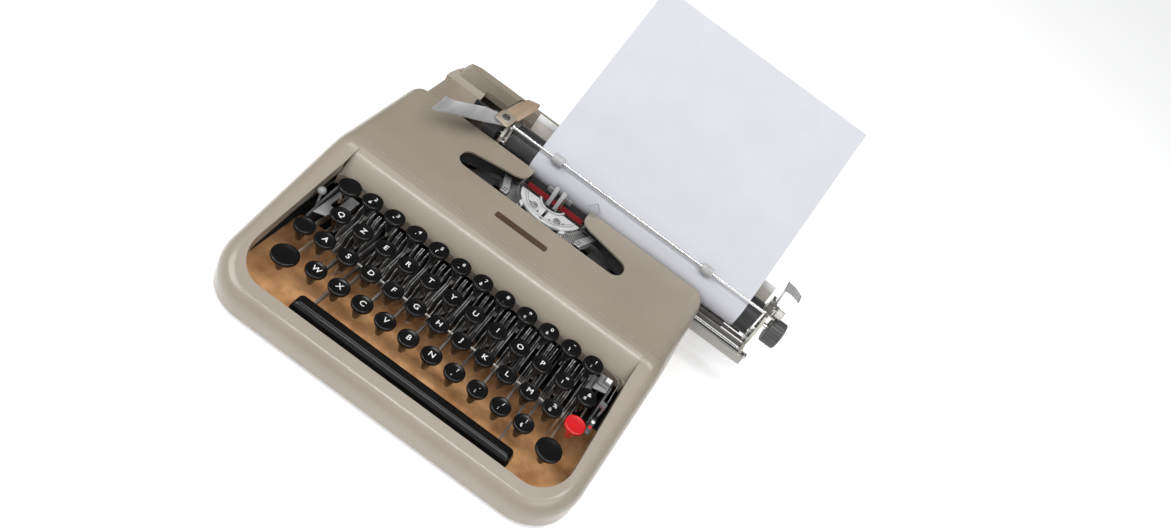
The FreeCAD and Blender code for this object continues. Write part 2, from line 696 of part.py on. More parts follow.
# ---------------------------------------------------------------- type basket
def make_basket():
    mid = size("print_x")
    centre = size("basket_centre_y")
    outer = size("ring_outer")
    inner = size("ring_inner")
    top = 61
    angle = 130
    start = 205
    here = point(mid, centre, top - 2)
    ring = Part.makeCylinder(outer, 2, here, Z_AXIS).cut(Part.makeCylinder(inner, 2, here, Z_AXIS))
    ring = ring.cut(box(mid - 40, mid + 40, centre - 6.4, centre + 40, top - 4, top + 1))
    ring = ring.cut(box(mid - 1.2, mid + 1.2, centre - 40, centre, top - 4, top + 1))
    pivot = size("type_pivot_radius")
    z = size("type_height")
    body = Part.makeCylinder(pivot + 2, 6, point(mid, centre, z - 3), Z_AXIS)
    body = body.cut(Part.makeCylinder(pivot - 6, 6, point(mid, centre, z - 3), Z_AXIS))
    body = body.cut(box(mid - 60, mid + 60, centre - 14, centre + 60, z - 6, z + 6))
    body = body.cut(box(mid - 1.3, mid + 1.3, centre - pivot - 6, centre, z - 6, z + 6))
    links = [box(mid + side * 20 - 2, mid + side * 20 + 2, centre - 28.5, centre - 20, z + 2, top - 1)
             for side in (-1, 1)]
    count = 42
    bars = []
    thick = 1.1
    reach = size("type_length")
    cuts = []
    for i in range(count + 1):
        turn = start + angle * i / count
        if i == count // 2:
            continue
        slot = box(pivot - 7, pivot + 3, -thick / 2 - 0.06, thick / 2 + 0.06, z - 2.4, z + 4)
        bar = box(pivot - 3, pivot + reach - 3, -thick / 2, thick / 2, z - 2, z + 1.5)
        head = box(pivot + reach - 3, pivot + reach + 2, -1.35, 1.35, z - 3.2, z + 3)
        for piece, store in ((slot, cuts), (bar.fuse(head), bars)):
            piece.rotate(Vector(), Z_AXIS, turn)
            piece.translate(point(mid, centre, 0))
            store.append(piece)
    body = body.cut(group(cuts))
    keep("type_bars", group(bars))
    strike_x = size("strike_x")
    strike_y = size("strike_pivot_y")
    strike_z = size("strike_pivot_height")
    leg_outline = [(31, 47.4), (38, 47.4), (strike_y + 4, 24), (strike_y + 4, 13), (strike_y - 4, 13),
                   (31, 42)]
    legs = [side_plate(leg_outline, strike_x + side * 3 - 1, strike_x + side * 3 + 1) for side in (-1, 1)]
    bridge = box(strike_x - 4, strike_x + 4, strike_y - 4, strike_y + 4, 13, 15.5)
    pin = rod(0.8, point(strike_x - 4, strike_y, strike_z), point(strike_x + 4, strike_y, strike_z))
    segment = fuse([ring, body, *links, *legs, bridge, pin])
    screws = []
    for x, y in ((-9, 50), (13.5, 50)):
        head = Part.makeCylinder(2.4, 1.2, point(x, y, top), Z_AXIS)
        screws.append(head.cut(box(x - 3, x + 3, y - 0.3, y + 0.3, top + 0.6, top + 2)))
    keep("type_segment", group([segment, *screws]))
    make_striking_bar()


def make_striking_bar():
    """One type bar on its own pin, long enough to reach the ribbon."""
    x = size("strike_x")
    y = size("strike_pivot_y")
    z = size("strike_pivot_height")
    length = size("strike_length")
    arm = box(x - 0.6, x + 0.6, -length + 4, 0, -0.8, 0.8)
    hub = rod(2, point(x - 0.6, 0, 0), point(x + 0.6, 0, 0))
    head = box(x - 1.4, x + 1.4, -length, -length + 5, -3, 3)
    bar = fuse([arm, hub, head]).cut(rod(0.85, point(x - 2, 0, 0), point(x + 2, 0, 0)))
    bar.rotate(Vector(), X_AXIS, -size("strike_lift"))
    bar.translate(point(0, y, z))
    keep("striking_type_bar", bar)


def make_ribbon_gear():
    mid = size("print_x")
    rail_y = size("rail_front_y")
    post_front = rail_y - 2.5
    post_rear = rail_y - 0.7
    blade_y = rail_y + size("rail_front_depth") / 2 - 1.5
    guide_outline = [(post_front, 62.4), (post_rear, 62.4), (69.4, 73), (69.4, 77.5), (67.6, 77.5),
                     (65.6, 74)]
    guide = side_plate(guide_outline, mid - 6, mid + 6)
    guide = guide.cut(box(mid - 1.9, mid + 1.9, 50, 80, 64, 80))
    parts = [guide]
    for x in (mid - 4.5, mid + 4.5):
        parts.append(box(x - 1, x + 1, post_front, post_rear, 37, 63))
        parts.append(box(x - 1, x + 1, post_front, blade_y, 37, 41))
    guides = [fuse(parts)]
    for x in (mid - 31, mid + 31):
        upright = box(x - 1, x + 1, post_front, post_rear, 37, 63)
        foot = box(x - 1, x + 1, post_front, blade_y, 37, 41)
        link = box(x - 1, x + 1, post_front, 70.2, 61.4, 63)
        roll = rod(1.1, point(x, 69.8, 57), point(x, 69.8, 69.2))
        guides.append(fuse([upright, foot, link, roll]))
    wire_x = mid + 19
    guides[-1] = fuse([guides[-1], rod(0.6, point(wire_x, 66, 62), point(wire_x, 66, 76)),
                       Part.makeSphere(0.6, point(wire_x, 66, 76)),
                       rod(0.6, point(wire_x, 66, 76), point(wire_x + 7, 70, 76)),
                       box(wire_x - 0.8, mid + 30.2, 65.4, 66.6, 61.4, 62.6)])
    keep("type_guide", group(guides))
    make_ribbon()


def make_ribbon():
    """The ribbon, the fork that lifts it, and the two spools in their cups."""
    mid = size("print_x")
    ribbon_y = size("ribbon_y")
    low = size("ribbon_low")
    high = size("ribbon_high")
    reach = 13.5
    spool_y = size("spool_y") + reach
    runs = [((size("spool_left_x") - 2, spool_y), (mid - 31, ribbon_y)),
            ((mid + 31, ribbon_y), (size("spool_right_x") + 2, spool_y))]
    strips = []
    for (xa, ya), (xb, yb) in runs:
        run = Vector(xb - xa, yb - ya, 0)
        side = Vector(-run.y, run.x, 0)
        side.normalize()
        side = side * (size("ribbon_sheet") / 2)
        corners = [point(xa, ya, low) + side, point(xb, yb, low) + side, point(xb, yb, low) - side,
                   point(xa, ya, low) - side]
        strips.append(Part.Face(polygon(corners)).extrude(point(0, 0, high - low)))
    keep("ribbon_sides", group(strips))
    middle = sheet_box("ribbon_run", "print_x - ribbon_middle_half", "ribbon_y - ribbon_sheet / 2",
                       "ribbon_low", "2 * ribbon_middle_half", "ribbon_sheet", "ribbon_high - ribbon_low")
    keep_object("ribbon_middle", middle)
    fork = sheet_box("fork_plate", "print_x - 4", "ribbon_y + 0.3", 53, 8, 0.7, 18.5)
    gap = sheet_box("fork_gap", "print_x - 2.4", "ribbon_y", 60, 4.8, 2, 14)
    holder = sheet_cut("fork", fork, gap)
    carrier = sheet_box("fork_carrier", "print_x - 3.2", "rail_front_y - 2.2", 53, 1.2,
                        "ribbon_y + 1 - rail_front_y + 2.2", 1.4)
    stem = sheet_box("fork_stem", "print_x - 3.2", "rail_front_y - 2.2", 38, 1.2, 1.4, 16.4)
    keep_object("ribbon_vibrator", sheet_fuse("vibrator", [holder, carrier, stem]))
    cups = []
    for side in ("left", "right"):
        x = "spool_%s_x" % side
        cup = sheet_rod(side + "_cup", x, "spool_y", "cup_base", "cup_radius", "cup_height", Z_AXIS)
        room = sheet_rod(side + "_cup_room", x, "spool_y", "cup_base + 1", "cup_radius - cup_wall",
                         "cup_height", Z_AXIS)
        mouth = sheet_box(side + "_cup_mouth", x + " - 14", "spool_y + 5", "cup_base + 2", 28, 20,
                          "cup_height")
        wall = sheet_cut(side + "_cup_wall", cup, sheet_group(side + "_cup_cuts", [room, mouth]))
        post = sheet_rod(side + "_cup_post", x, "spool_y", "cup_base + 1", "spool_post", 16.2, Z_AXIS)
        leg = sheet_rod(side + "_cup_leg", x, "spool_y", "case_bottom + plate_sheet", 3,
                        "cup_base - case_bottom - plate_sheet", Z_AXIS)
        cups.append(sheet_fuse(side + "_spool_cup", [wall, post, leg]))
        flanges = [sheet_rod(side + "_flange", x, "spool_y", z, "spool_radius", "spool_flange", Z_AXIS)
                   for z in ("spool_base", "spool_base + spool_flange + spool_width")]
        wound = sheet_rod(side + "_wound", x, "spool_y", "spool_base + spool_flange", "spool_core",
                          "spool_width", Z_AXIS)
        bore = sheet_rod(side + "_spool_bore", x, "spool_y", 50, "spool_post + fit_gap", 20, Z_AXIS)
        reel = sheet_cut(side + "_reel", sheet_fuse(side + "_spool_solid", [*flanges, wound]), bore)
        keep_object("ribbon_spool_" + side, reel)
    keep_object("spool_cups", sheet_group("cups", cups))


# ---------------------------------------------------------------- carriage
def channel(name, depth):
    """A moving rail, an upside-down channel astride its fixed rail."""
    start = "rail_%s_y" % name
    top = "rail_%s_top" % name
    height = "rail_%s_height" % name
    outer = sheet_box(name + "_channel", "rail_left", start, "%s - %s" % (top, height),
                      "rail_rear_end - rail_left", depth, height)
    groove_start = "%s + %s / 2 - rail_groove / 2" % (start, depth)
    groove_low = "%s - %s - 1" % (top, height)
    groove = sheet_box(name + "_channel_groove", "rail_left - 1", groove_start, groove_low,
                       "rail_rear_end - rail_left + 2", "rail_groove", height + " - rail_cap + 1")
    return sheet_cut(name + "_moving_rail", outer, groove)


LEVER_PIVOT = (-70, 84)


def end_outline():
    return [(62, 44.8), (75.4, 44.8), (76, 50.2), (131, 50.2), (131, 58), (124, 66), (112, 78), (103, 83.5),
            (84, 83.5), (77.5, 76), (75.8, 67), (75.8, 55), (62, 53.5)]


def make_carriage():
    strip = sheet_box("rail_strip", "platen_left - 5", 74, 50.2, "platen_right - platen_left + 9.4",
                      1.4, 4.4)
    keep_object("front_rail", sheet_group("front_rail_pair", [channel("front", "rail_front_depth"), strip]))
    keep_object("rear_rail", channel("rear", "rail_depth"))
    notches = ((size("rail_front_y"), size("rail_front_depth"), size("rail_front_top")),
               (size("rail_rear_y"), size("rail_depth"), size("rail_rear_top")))
    y = size("platen_y")
    z = size("platen_height")
    left = size("platen_left")
    right = size("platen_right")
    bush = size("shaft_radius") + size("fit_gap")
    bores = [rod(bush, point(left - 30, y, z), point(right + 30, y, z))]
    for roller_y, roller_z in feed_places():
        bores.append(rod(size("feed_shaft_radius") + size("fit_gap"), point(left - 30, roller_y, roller_z),
                         point(right + 30, roller_y, roller_z)))
    bail_y = size("bail_pivot_y")
    bail_z = size("bail_pivot_height")
    bores.append(rod(size("bail_pin") + size("fit_gap"), point(left - 30, bail_y, bail_z),
                     point(right + 30, bail_y, bail_z)))
    for label, x0 in (("end_plate_left", left - 7.4), ("end_plate_right", right + 4.4)):
        plate = side_plate(end_outline(), x0, x0 + 2.4)
        for rail_y, depth, top in notches:
            plate = plate.cut(box(x0 - 1, x0 + 4, rail_y - 0.01, rail_y + depth + 0.01, 40, top))
        if x0 < 0:
            shelf = rounded_prism([(-78, 79, 3), (-62.6, 77, 3), (-62.6, 121, 3), (-74, 121, 3)], 87, 88.6)
            post = box(x0, x0 + 2.4, 96, 110, 80, 87.4)
            screw_hole = Part.makeCylinder(1.62, 10, point(*LEVER_PIVOT, 80), Z_AXIS)
            plate = fuse([plate, shelf, post]).cut(screw_hole)
        else:
            shelf = rounded_prism([(192.4, 88, 2), (203, 88, 2), (203, 106, 2), (192.4, 106, 2)], 82.6, 84)
            ear = side_plate([(104, 78), (116, 73), (117, 83), (107, 85)], x0, x0 + 2.4)
            release_pin = rod(1.5, point(x0, 111.6, 80), point(x0 + 5.8, 111.6, 80))
            plate = fuse([plate, shelf, ear, release_pin])
        plate = plate.cut(group(bores))
        if x0 < 0:
            screw = fuse([Part.makeCylinder(1.6, 5.6, point(*LEVER_PIVOT, 84), Z_AXIS),
                          Part.makeCylinder(3, 1.2, point(*LEVER_PIVOT, 83.2), Z_AXIS),
                          Part.makeCylinder(3, 1.4, point(*LEVER_PIVOT, 88.6), Z_AXIS)])
            plate = group([plate, screw])
        keep(label, plate)
    make_rack()
    make_platen()
    make_paper_parts()


def make_rack():
    """The slotted rack behind the rear rail, and the two margin stops on it."""
    rack_y = "rail_rear_y + rail_depth"
    rack = plate_body("rack", "platen_left - 5", rack_y, "rack_low", "platen_right - platen_left + 9.4",
                      "rack_depth", "rack_high - rack_low")
    doc.recompute()
    slot = body_sketch(rack, "rack_slot_outline", "XY_Plane", size("rack_high") - size("rack_low"))
    width = size("rack_slot")
    depth = size("rack_depth")
    draw_loop(slot, [(9, 1), (9 + width, 1), (9 + width, depth + 0.6), (9, depth + 0.6)])
    pocket = rack.newObject("PartDesign::Pocket", "rack_slot")
    pocket.Profile = slot
    pocket.Length = 2.4
    repeat(rack, "rack_slots", [pocket], "X_Axis", "rack_pitch * 46", 47)
    keep_object("margin_rack", rack)
    stops = []
    for x in ("platen_left + 12", "platen_right - 20"):
        block = sheet_box("stop_block", x, rack_y + " - 1", "rack_high + 0.1", 7, 5.6, 3.5)
        finger = sheet_box("stop_finger", x + " + 2", rack_y + " + 1", "rack_high + 3.6", 3, 2, 4.4)
        stops.append(sheet_fuse("margin_stop", [block, finger]))
    keep_object("margin_stops", sheet_group("stops", stops))


def make_platen():
    """The rubber roll on its shaft, with the ratchet wheel and the two ribbed knobs."""
    y = size("platen_y")
    z = size("platen_height")
    roll = sheet_rod("platen_tube", "platen_left", "platen_y", "platen_height", "platen_radius",
                     "platen_right - platen_left")
    bore = sheet_rod("platen_bore", "platen_left - 1", "platen_y", "platen_height", "shaft_radius",
                     "platen_right - platen_left + 2")
    keep_object("platen", sheet_cut("platen_roll", roll, bore))
    knobs = []
    for name, x in (("left", "platen_left - 25.5"), ("right", "platen_right + 13.5")):
        knob = doc.addObject("PartDesign::Body", name + "_knob_body")
        section = body_sketch(knob, name + "_knob_section", "YZ_Plane")
        draw_circle(section, 0, 0, size("knob_radius"))
        draw_circle(section, 0, 0, size("shaft_radius"))
        pad = pad_sketch(knob, section, name + "_knob_pad", "knob_length")
        doc.recompute()
        rims = ["Edge%d" % i for i, edge in enumerate(pad.Shape.Edges, start=1)
                if edge.BoundBox.XLength < 0.01 and edge.BoundBox.YLength > size("knob_radius")]
        fillet = knob.newObject("PartDesign::Fillet", name + "_knob_rims")
        fillet.Base = (pad, rims)
        bind(fillet, Radius="knob_round")
        doc.recompute()
        groove = body_sketch(knob, name + "_knob_groove_section", "YZ_Plane", 1.5)
        draw_circle(groove, size("knob_radius"), 0, size("knob_groove"))
        pocket = knob.newObject("PartDesign::Pocket", name + "_knob_groove")
        pocket.Profile = groove
        pocket.Reversed = True
        bind(pocket, Length="knob_length - 3")
        repeat_round(knob, name + "_knob_grooves", [pocket], "X_Axis", 24)
        knobs.append(bind(knob, x=x, y="platen_y", z="platen_height"))
    keep_object("platen_knobs", sheet_group("knobs", knobs))
    core = sheet_rod("platen_core", "platen_left - 26", "platen_y", "platen_height", "shaft_radius",
                     "platen_right - platen_left + 53")
    tooth_tip = 8.3
    tooth_root = 7.4
    corners = []
    for i in range(60):
        reach = tooth_tip if i % 2 else tooth_root
        turn = math.radians(6 * i)
        corners.append((y + reach * math.cos(turn), z + reach * math.sin(turn)))
    wheel = bind(outline_body("ratchet", "YZ_Plane", corners, 1.5), x="platen_left - 4.7")
    keep_object("platen_shaft", sheet_fuse("platen_axle", [core, wheel]))


def feed_places():
    """Where the two feed roller shafts lie, front and rear, in (y, z)."""
    reach = size("platen_radius") + size("paper_gap") + 2 * size("paper_sheet") + size("feed_radius")
    turn = math.radians(size("feed_turn"))
    y = size("platen_y")
    z = size("platen_height")
    return [(y - reach * math.sin(turn), z - reach * math.cos(turn)),
            (y + reach * math.sin(turn), z - reach * math.cos(turn))]


def make_paper_parts():
    y = size("platen_y")
    z = size("platen_height")
    left = size("platen_left")
    right = size("platen_right")
    for label, (roller_y, roller_z) in zip(("feed_roller_front", "feed_roller_rear"), feed_places()):
        pieces = [sheet_rod(label + "_shaft", "platen_left - 7.4", roller_y, roller_z, "feed_shaft_radius",
                            "platen_right - platen_left + 14.2")]
        for x in ("platen_left + 18", "(platen_left + platen_right) / 2 - 17", "platen_right - 52"):
            pieces.append(sheet_rod(label + "_drum", x, roller_y, roller_z, "feed_radius", 34))
        keep_object(label, sheet_fuse(label + "_solid", pieces))
    pan_inner = size("platen_radius") + 1.5
    pan = rod(pan_inner + 0.8, point(left + 2, y, z), point(right - 2, y, z))
    pan = pan.cut(rod(pan_inner, point(left, y, z), point(right, y, z)))
    wedge = side_plate([(y, z), (y - 13, z - 30), (y + 13, z - 30)], left, right)
    lugs = [box(x0, x0 + 7.4, y - 3, y + 3, z - pan_inner - 0.7, z - pan_inner - 0.05)
            for x0 in (left - 5, right - 3)]
    keep("paper_pan", fuse([pan.common(wedge), *lugs]))
    lean = math.radians(22)
    foot = (y + 17.4, z - 6)
    tall = 25.5
    along = (math.sin(lean), math.cos(lean))
    across = (math.cos(lean), -math.sin(lean))

    def place(up, out):
        return (foot[0] + along[0] * up + across[0] * out, foot[1] + along[1] * up + across[1] * out)

    sheet_outline = [place(0, 0), place(tall - 5, 0), place(tall - 5, 0.9), place(0, 0.9)]
    table = side_plate(sheet_outline, left + 4.4, right + 1.8)
    ears = [side_plate([place(0, 0), place(8, 0), place(8, 4), place(0, 4)], x0, x0 + 9.5)
            for x0 in (left - 5, right - 5.2)]
    lip_outline = [place(tall - 5, 0), place(tall + 1, 0), place(tall + 1, 0.9), place(tall - 5, 0.9)]
    lip = side_plate(lip_outline, left + 4.4, right + 1.8)
    keep("paper_table", group([fuse([table, *ears]), lip]))
    inner = size("platen_radius") + size("paper_gap")
    thick = size("paper_sheet")
    leave = math.radians(40)
    enter = math.radians(112)

    def on_roll(angle, radius):
        return point(0, y + radius * math.sin(angle), z + radius * math.cos(angle))

    def sheet_line(radius):
        start = on_roll(-leave, radius)
        rise = point(0, math.cos(leave), math.sin(leave)) * size("paper_rise")
        tail_start = on_roll(enter, radius)
        tail = point(0, -math.cos(enter), math.sin(enter)) * 55
        middle = on_roll(math.pi + (enter - leave) / 2, radius)
        return start + rise, start, middle, tail_start, tail_start + tail

    a = sheet_line(inner)
    b = sheet_line(inner + thick)
    wire = Part.Wire([
        Part.makeLine(a[0], a[1]),
        Part.Arc(a[1], a[2], a[3]).toShape(),
        Part.makeLine(a[3], a[4]),
        Part.makeLine(a[4], b[4]),
        Part.makeLine(b[4], b[3]),
        Part.Arc(b[3], b[2], b[1]).toShape(),
        Part.makeLine(b[1], b[0]),
        Part.makeLine(b[0], a[0]),
    ])
    paper = Part.Face(wire).extrude(point(size("paper_width"), 0, 0))
    paper.translate(point(size("paper_left"), 0, 0))
    keep("paper_sheet", paper)


def make_bail():
    y = size("bail_y")
    z = size("bail_height")
    pivot_y = size("bail_pivot_y")
    pivot_z = size("bail_pivot_height")
    left = size("platen_left")
    right = size("platen_right")
    bar = rod(size("bail_radius"), point(left - 2.2, y, z), point(right + 2.2, y, z))
    parts = [bar]
    for x0 in (left - 2.2, right + 0.7):
        blade = side_plate([(pivot_y - 2.6, pivot_z), (pivot_y + 2.6, pivot_z), (y + 2.2, z), (y - 2.2, z)],
                           x0, x0 + 1.5)
        eyes = [rod(2.8, point(x0, pivot_y, pivot_z), point(x0 + 1.5, pivot_y, pivot_z)),
                rod(2.4, point(x0, y, z), point(x0 + 1.5, y, z))]
        parts += [blade, *eyes]
    pin = size("bail_pin")
    pins = [rod(pin, point(left - 7.2, pivot_y, pivot_z), point(left - 2.2, pivot_y, pivot_z)),
            rod(pin, point(right + 2.2, pivot_y, pivot_z), point(right + 6.6, pivot_y, pivot_z))]
    keep("paper_bail", fuse(parts + pins))
    for label, x in (("bail_roller_left", -20.5), ("bail_roller_right", 128.6)):
        roller = sheet_rod(label + "_tube", x, "bail_y", "bail_height", "roller_radius", 10)
        bore = sheet_rod(label + "_bore", x - 1, "bail_y", "bail_height", "bail_radius + fit_gap", 12)
        keep_object(label, sheet_cut(label + "_ring", roller, bore))


def make_levers():
    """The line-space lever and the small levers at the carriage's ends."""
    pivot = LEVER_PIVOT
    z = 84.6
    blade_outline = [(-66, 84), (-70, 88), (-78, 88), (-90, 74), (-108, 60), (-113, 48), (-112, 34),
                     (-107, 31), (-98, 36), (-88, 44), (-80, 58), (-68, 72)]
    blade = flat_plate(blade_outline, z, z + 1.6)
    curl = side_plate([(31, z), (38, z), (36, z + 5), (31, z + 6.4)], -112, -106)
    hole = Part.makeCylinder(1.6 + size("fit_gap"), 10, point(pivot[0], pivot[1], z - 4), Z_AXIS)
    keep("return_lever", fuse([blade, curl]).cut(hole))
    outline = [(108.4, 77.2), (114.8, 77.2), (120, 88), (136, 90.6), (136, 92.4), (119, 90.4), (109, 84)]
    arm = side_plate(outline, 197.6, 199.4)
    tab = box(197.6, 210, 119, 135, 91.2, 92.6)
    hole = rod(1.5 + size("fit_gap"), point(197, 111.6, 80), point(200, 111.6, 80))
    keep("paper_release_lever", fuse([arm, tab]).cut(hole))


def inner_post(name, x, y, radius, height, collar_radius, collar_z, collar_height):
    """A post on the base plate with a collar that carries what turns on it."""
    floor = "case_bottom + plate_sheet"
    post = sheet_rod(name + "_post", x, y, floor, radius, height, Z_AXIS)
    collar = sheet_rod(name + "_collar", x, y, collar_z, collar_radius, collar_height, Z_AXIS)
    return sheet_fuse(name + "_stand", [post, collar])


def make_inner_works():
    """The mainspring drum, the escapement wheel and the bell, on posts of their own."""
    floor = "case_bottom + plate_sheet"
    drum = sheet_rod("drum_solid", "drum_x", "drum_y", "drum_z", "drum_radius", "drum_height", Z_AXIS)
    drum_bore = sheet_rod("drum_bore", "drum_x", "drum_y", "drum_z - 1", 2.55, "drum_height + 2", Z_AXIS)
    keep_object("mainspring_drum", sheet_cut("drum", drum, drum_bore))
    wheel = doc.addObject("PartDesign::Body", "wheel_body")
    disc = body_sketch(wheel, "wheel_disc", "XY_Plane")
    draw_circle(disc, 0, 0, size("wheel_radius"))
    draw_circle(disc, 0, 0, 2.05)
    pad_sketch(wheel, disc, "wheel_pad", "wheel_sheet")
    doc.recompute()
    notch = body_sketch(wheel, "wheel_notch", "XY_Plane")
    draw_loop(notch, [(12.4, -0.9), (15, -0.9), (15, 0.9), (12.4, 0.9)])
    tooth_gap = wheel.newObject("PartDesign::Pocket", "wheel_tooth_gap")
    tooth_gap.Profile = notch
    tooth_gap.Reversed = True
    bind(tooth_gap, Length="wheel_sheet")
    repeat_round(wheel, "wheel_teeth", [tooth_gap], "Z_Axis", 24)
    keep_object("escapement_wheel", bind(wheel, x="wheel_x", y="wheel_y", z="wheel_z"))
    domes = []
    for name, radius in (("outside", "bell_radius"), ("inside", "bell_radius - bell_wall")):
        dome = doc.addObject("Part::Sphere", "bell_" + name)
        dome.Angle1 = 0
        domes.append(bind(dome, Radius=radius, x="bell_x", y="bell_y", z="bell_z"))
    bell_hole = sheet_rod("bell_hole", "bell_x", "bell_y", "bell_z - 2", 2, 20, Z_AXIS)
    hollow = sheet_group("bell_hollow", [domes[1], bell_hole])
    keep_object("bell", sheet_cut("bell_dome", domes[0], hollow))
    posts = [inner_post("drum", "drum_x", "drum_y", 2.5, 29.5, 6, floor, 14.9),
             inner_post("wheel", "wheel_x", "wheel_y", 2, 27.5, 5, floor, 22.9),
             inner_post("bell", "bell_x", "bell_y", 1.98, 32.5, 4, 38, 2)]
    keep_object("inner_posts", sheet_group("posts", posts))


def make_side_levers():
    """The ribbon selector and the margin release, one at each side of the keyboard."""
    arm_outline = [(-80, 38), (-74, 38), (-76, 57), (-79, 57)]
    arm = bind(outline_body("selector_arm", "YZ_Plane", arm_outline, 1.4), x=124.9)
    hub = sheet_rod("selector_hub", 124.9, -77, 38, 3.4, 1.4)
    tab = sheet_box("selector_tab", 121.6, -80, 56, 4.7, 5, 2)
    bore = sheet_rod("selector_bore", 118, -77, 38, 1.55, 10)
    solid = sheet_fuse("selector_solid", [arm, hub, tab])
    keep_object("ribbon_selector", sheet_cut("selector", solid, bore))
    stalk = sheet_rod("release_stalk", -124.8, -70, 34, 0.9, 20, Z_AXIS)
    ball = doc.addObject("Part::Sphere", "release_ball")
    bind(ball, Radius=3.2, x=-124.8, y=-70, z=55)
    eye = sheet_rod("release_eye", -125.8, -70, 32, 3, 2)
    eye_bore = sheet_rod("release_bore", -130, -70, 32, 1.55, 10)
    release = sheet_fuse("release_solid", [stalk, ball, eye])
    keep_object("margin_release_lever", sheet_cut("release", release, eye_bore))


make_case()
make_cover()
make_base()
make_frames()
make_rows()
make_other_keys()
make_comb()
make_basket()
make_ribbon_gear()
make_carriage()
make_bail()
make_levers()
make_inner_works()
make_side_levers()
doc.recompute()

for item in doc.Objects:
    states = [state for state in item.State if state in ("Invalid", "Error")]
    if states:
        raise RuntimeError("%s is %s" % (item.Label, states))
for node in NODES:
    shape = node.Shape
    if shape.isNull() or not shape.isValid() or not shape.Solids:
        raise RuntimeError("%s has no valid solid" % node.Label)

os.makedirs("parts", exist_ok=True)
for node in NODES:
    node.Shape.exportStep("parts/%s.step" % node.Label)
    counts = (node.Label, len(node.Shape.Solids), len(node.Shape.Faces), node.Shape.Volume / 1000)
    print("%-22s solids %3d faces %4d cm3 %8.2f" % counts)
print(len(NODES), "nodes")
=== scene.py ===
"""A flat portable typewriter, dressed around its fixed frame. Metres."""
import json
import math

import bmesh
import bpy
from mathutils import Matrix, Vector


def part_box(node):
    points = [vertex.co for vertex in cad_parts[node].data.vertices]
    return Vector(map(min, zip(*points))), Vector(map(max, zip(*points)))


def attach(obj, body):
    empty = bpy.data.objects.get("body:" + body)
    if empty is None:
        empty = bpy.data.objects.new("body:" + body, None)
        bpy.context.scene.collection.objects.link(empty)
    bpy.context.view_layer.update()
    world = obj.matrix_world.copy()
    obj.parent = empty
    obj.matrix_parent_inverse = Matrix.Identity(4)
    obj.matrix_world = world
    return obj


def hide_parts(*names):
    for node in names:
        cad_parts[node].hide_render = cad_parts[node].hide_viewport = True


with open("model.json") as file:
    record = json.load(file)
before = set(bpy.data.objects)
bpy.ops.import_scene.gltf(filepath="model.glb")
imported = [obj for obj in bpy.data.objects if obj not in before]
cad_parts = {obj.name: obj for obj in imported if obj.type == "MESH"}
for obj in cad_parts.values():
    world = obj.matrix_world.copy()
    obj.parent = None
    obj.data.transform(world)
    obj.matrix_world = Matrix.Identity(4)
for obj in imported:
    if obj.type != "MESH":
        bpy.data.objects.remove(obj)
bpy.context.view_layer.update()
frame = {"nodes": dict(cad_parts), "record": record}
MM = 0.001
RIBBON_FOOT = 0.0554
RIBBON_TOP = 0.0682


# ---------------------------------------------------------------- places from the frame
def node_box(name):
    """A node's lowest and highest corners at rest, in metres."""
    low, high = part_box(name)
    return Vector(low), Vector(high)


# ---------------------------------------------------------------- materials
def fill_ramp(ramp, stops):
    """Give a colour ramp its (place, colour) stops."""
    while len(ramp.elements) < len(stops):
        ramp.elements.new(0.5)
    for element, (place, colour) in zip(ramp.elements, stops):
        element.position = place
        element.color = (*colour, 1)


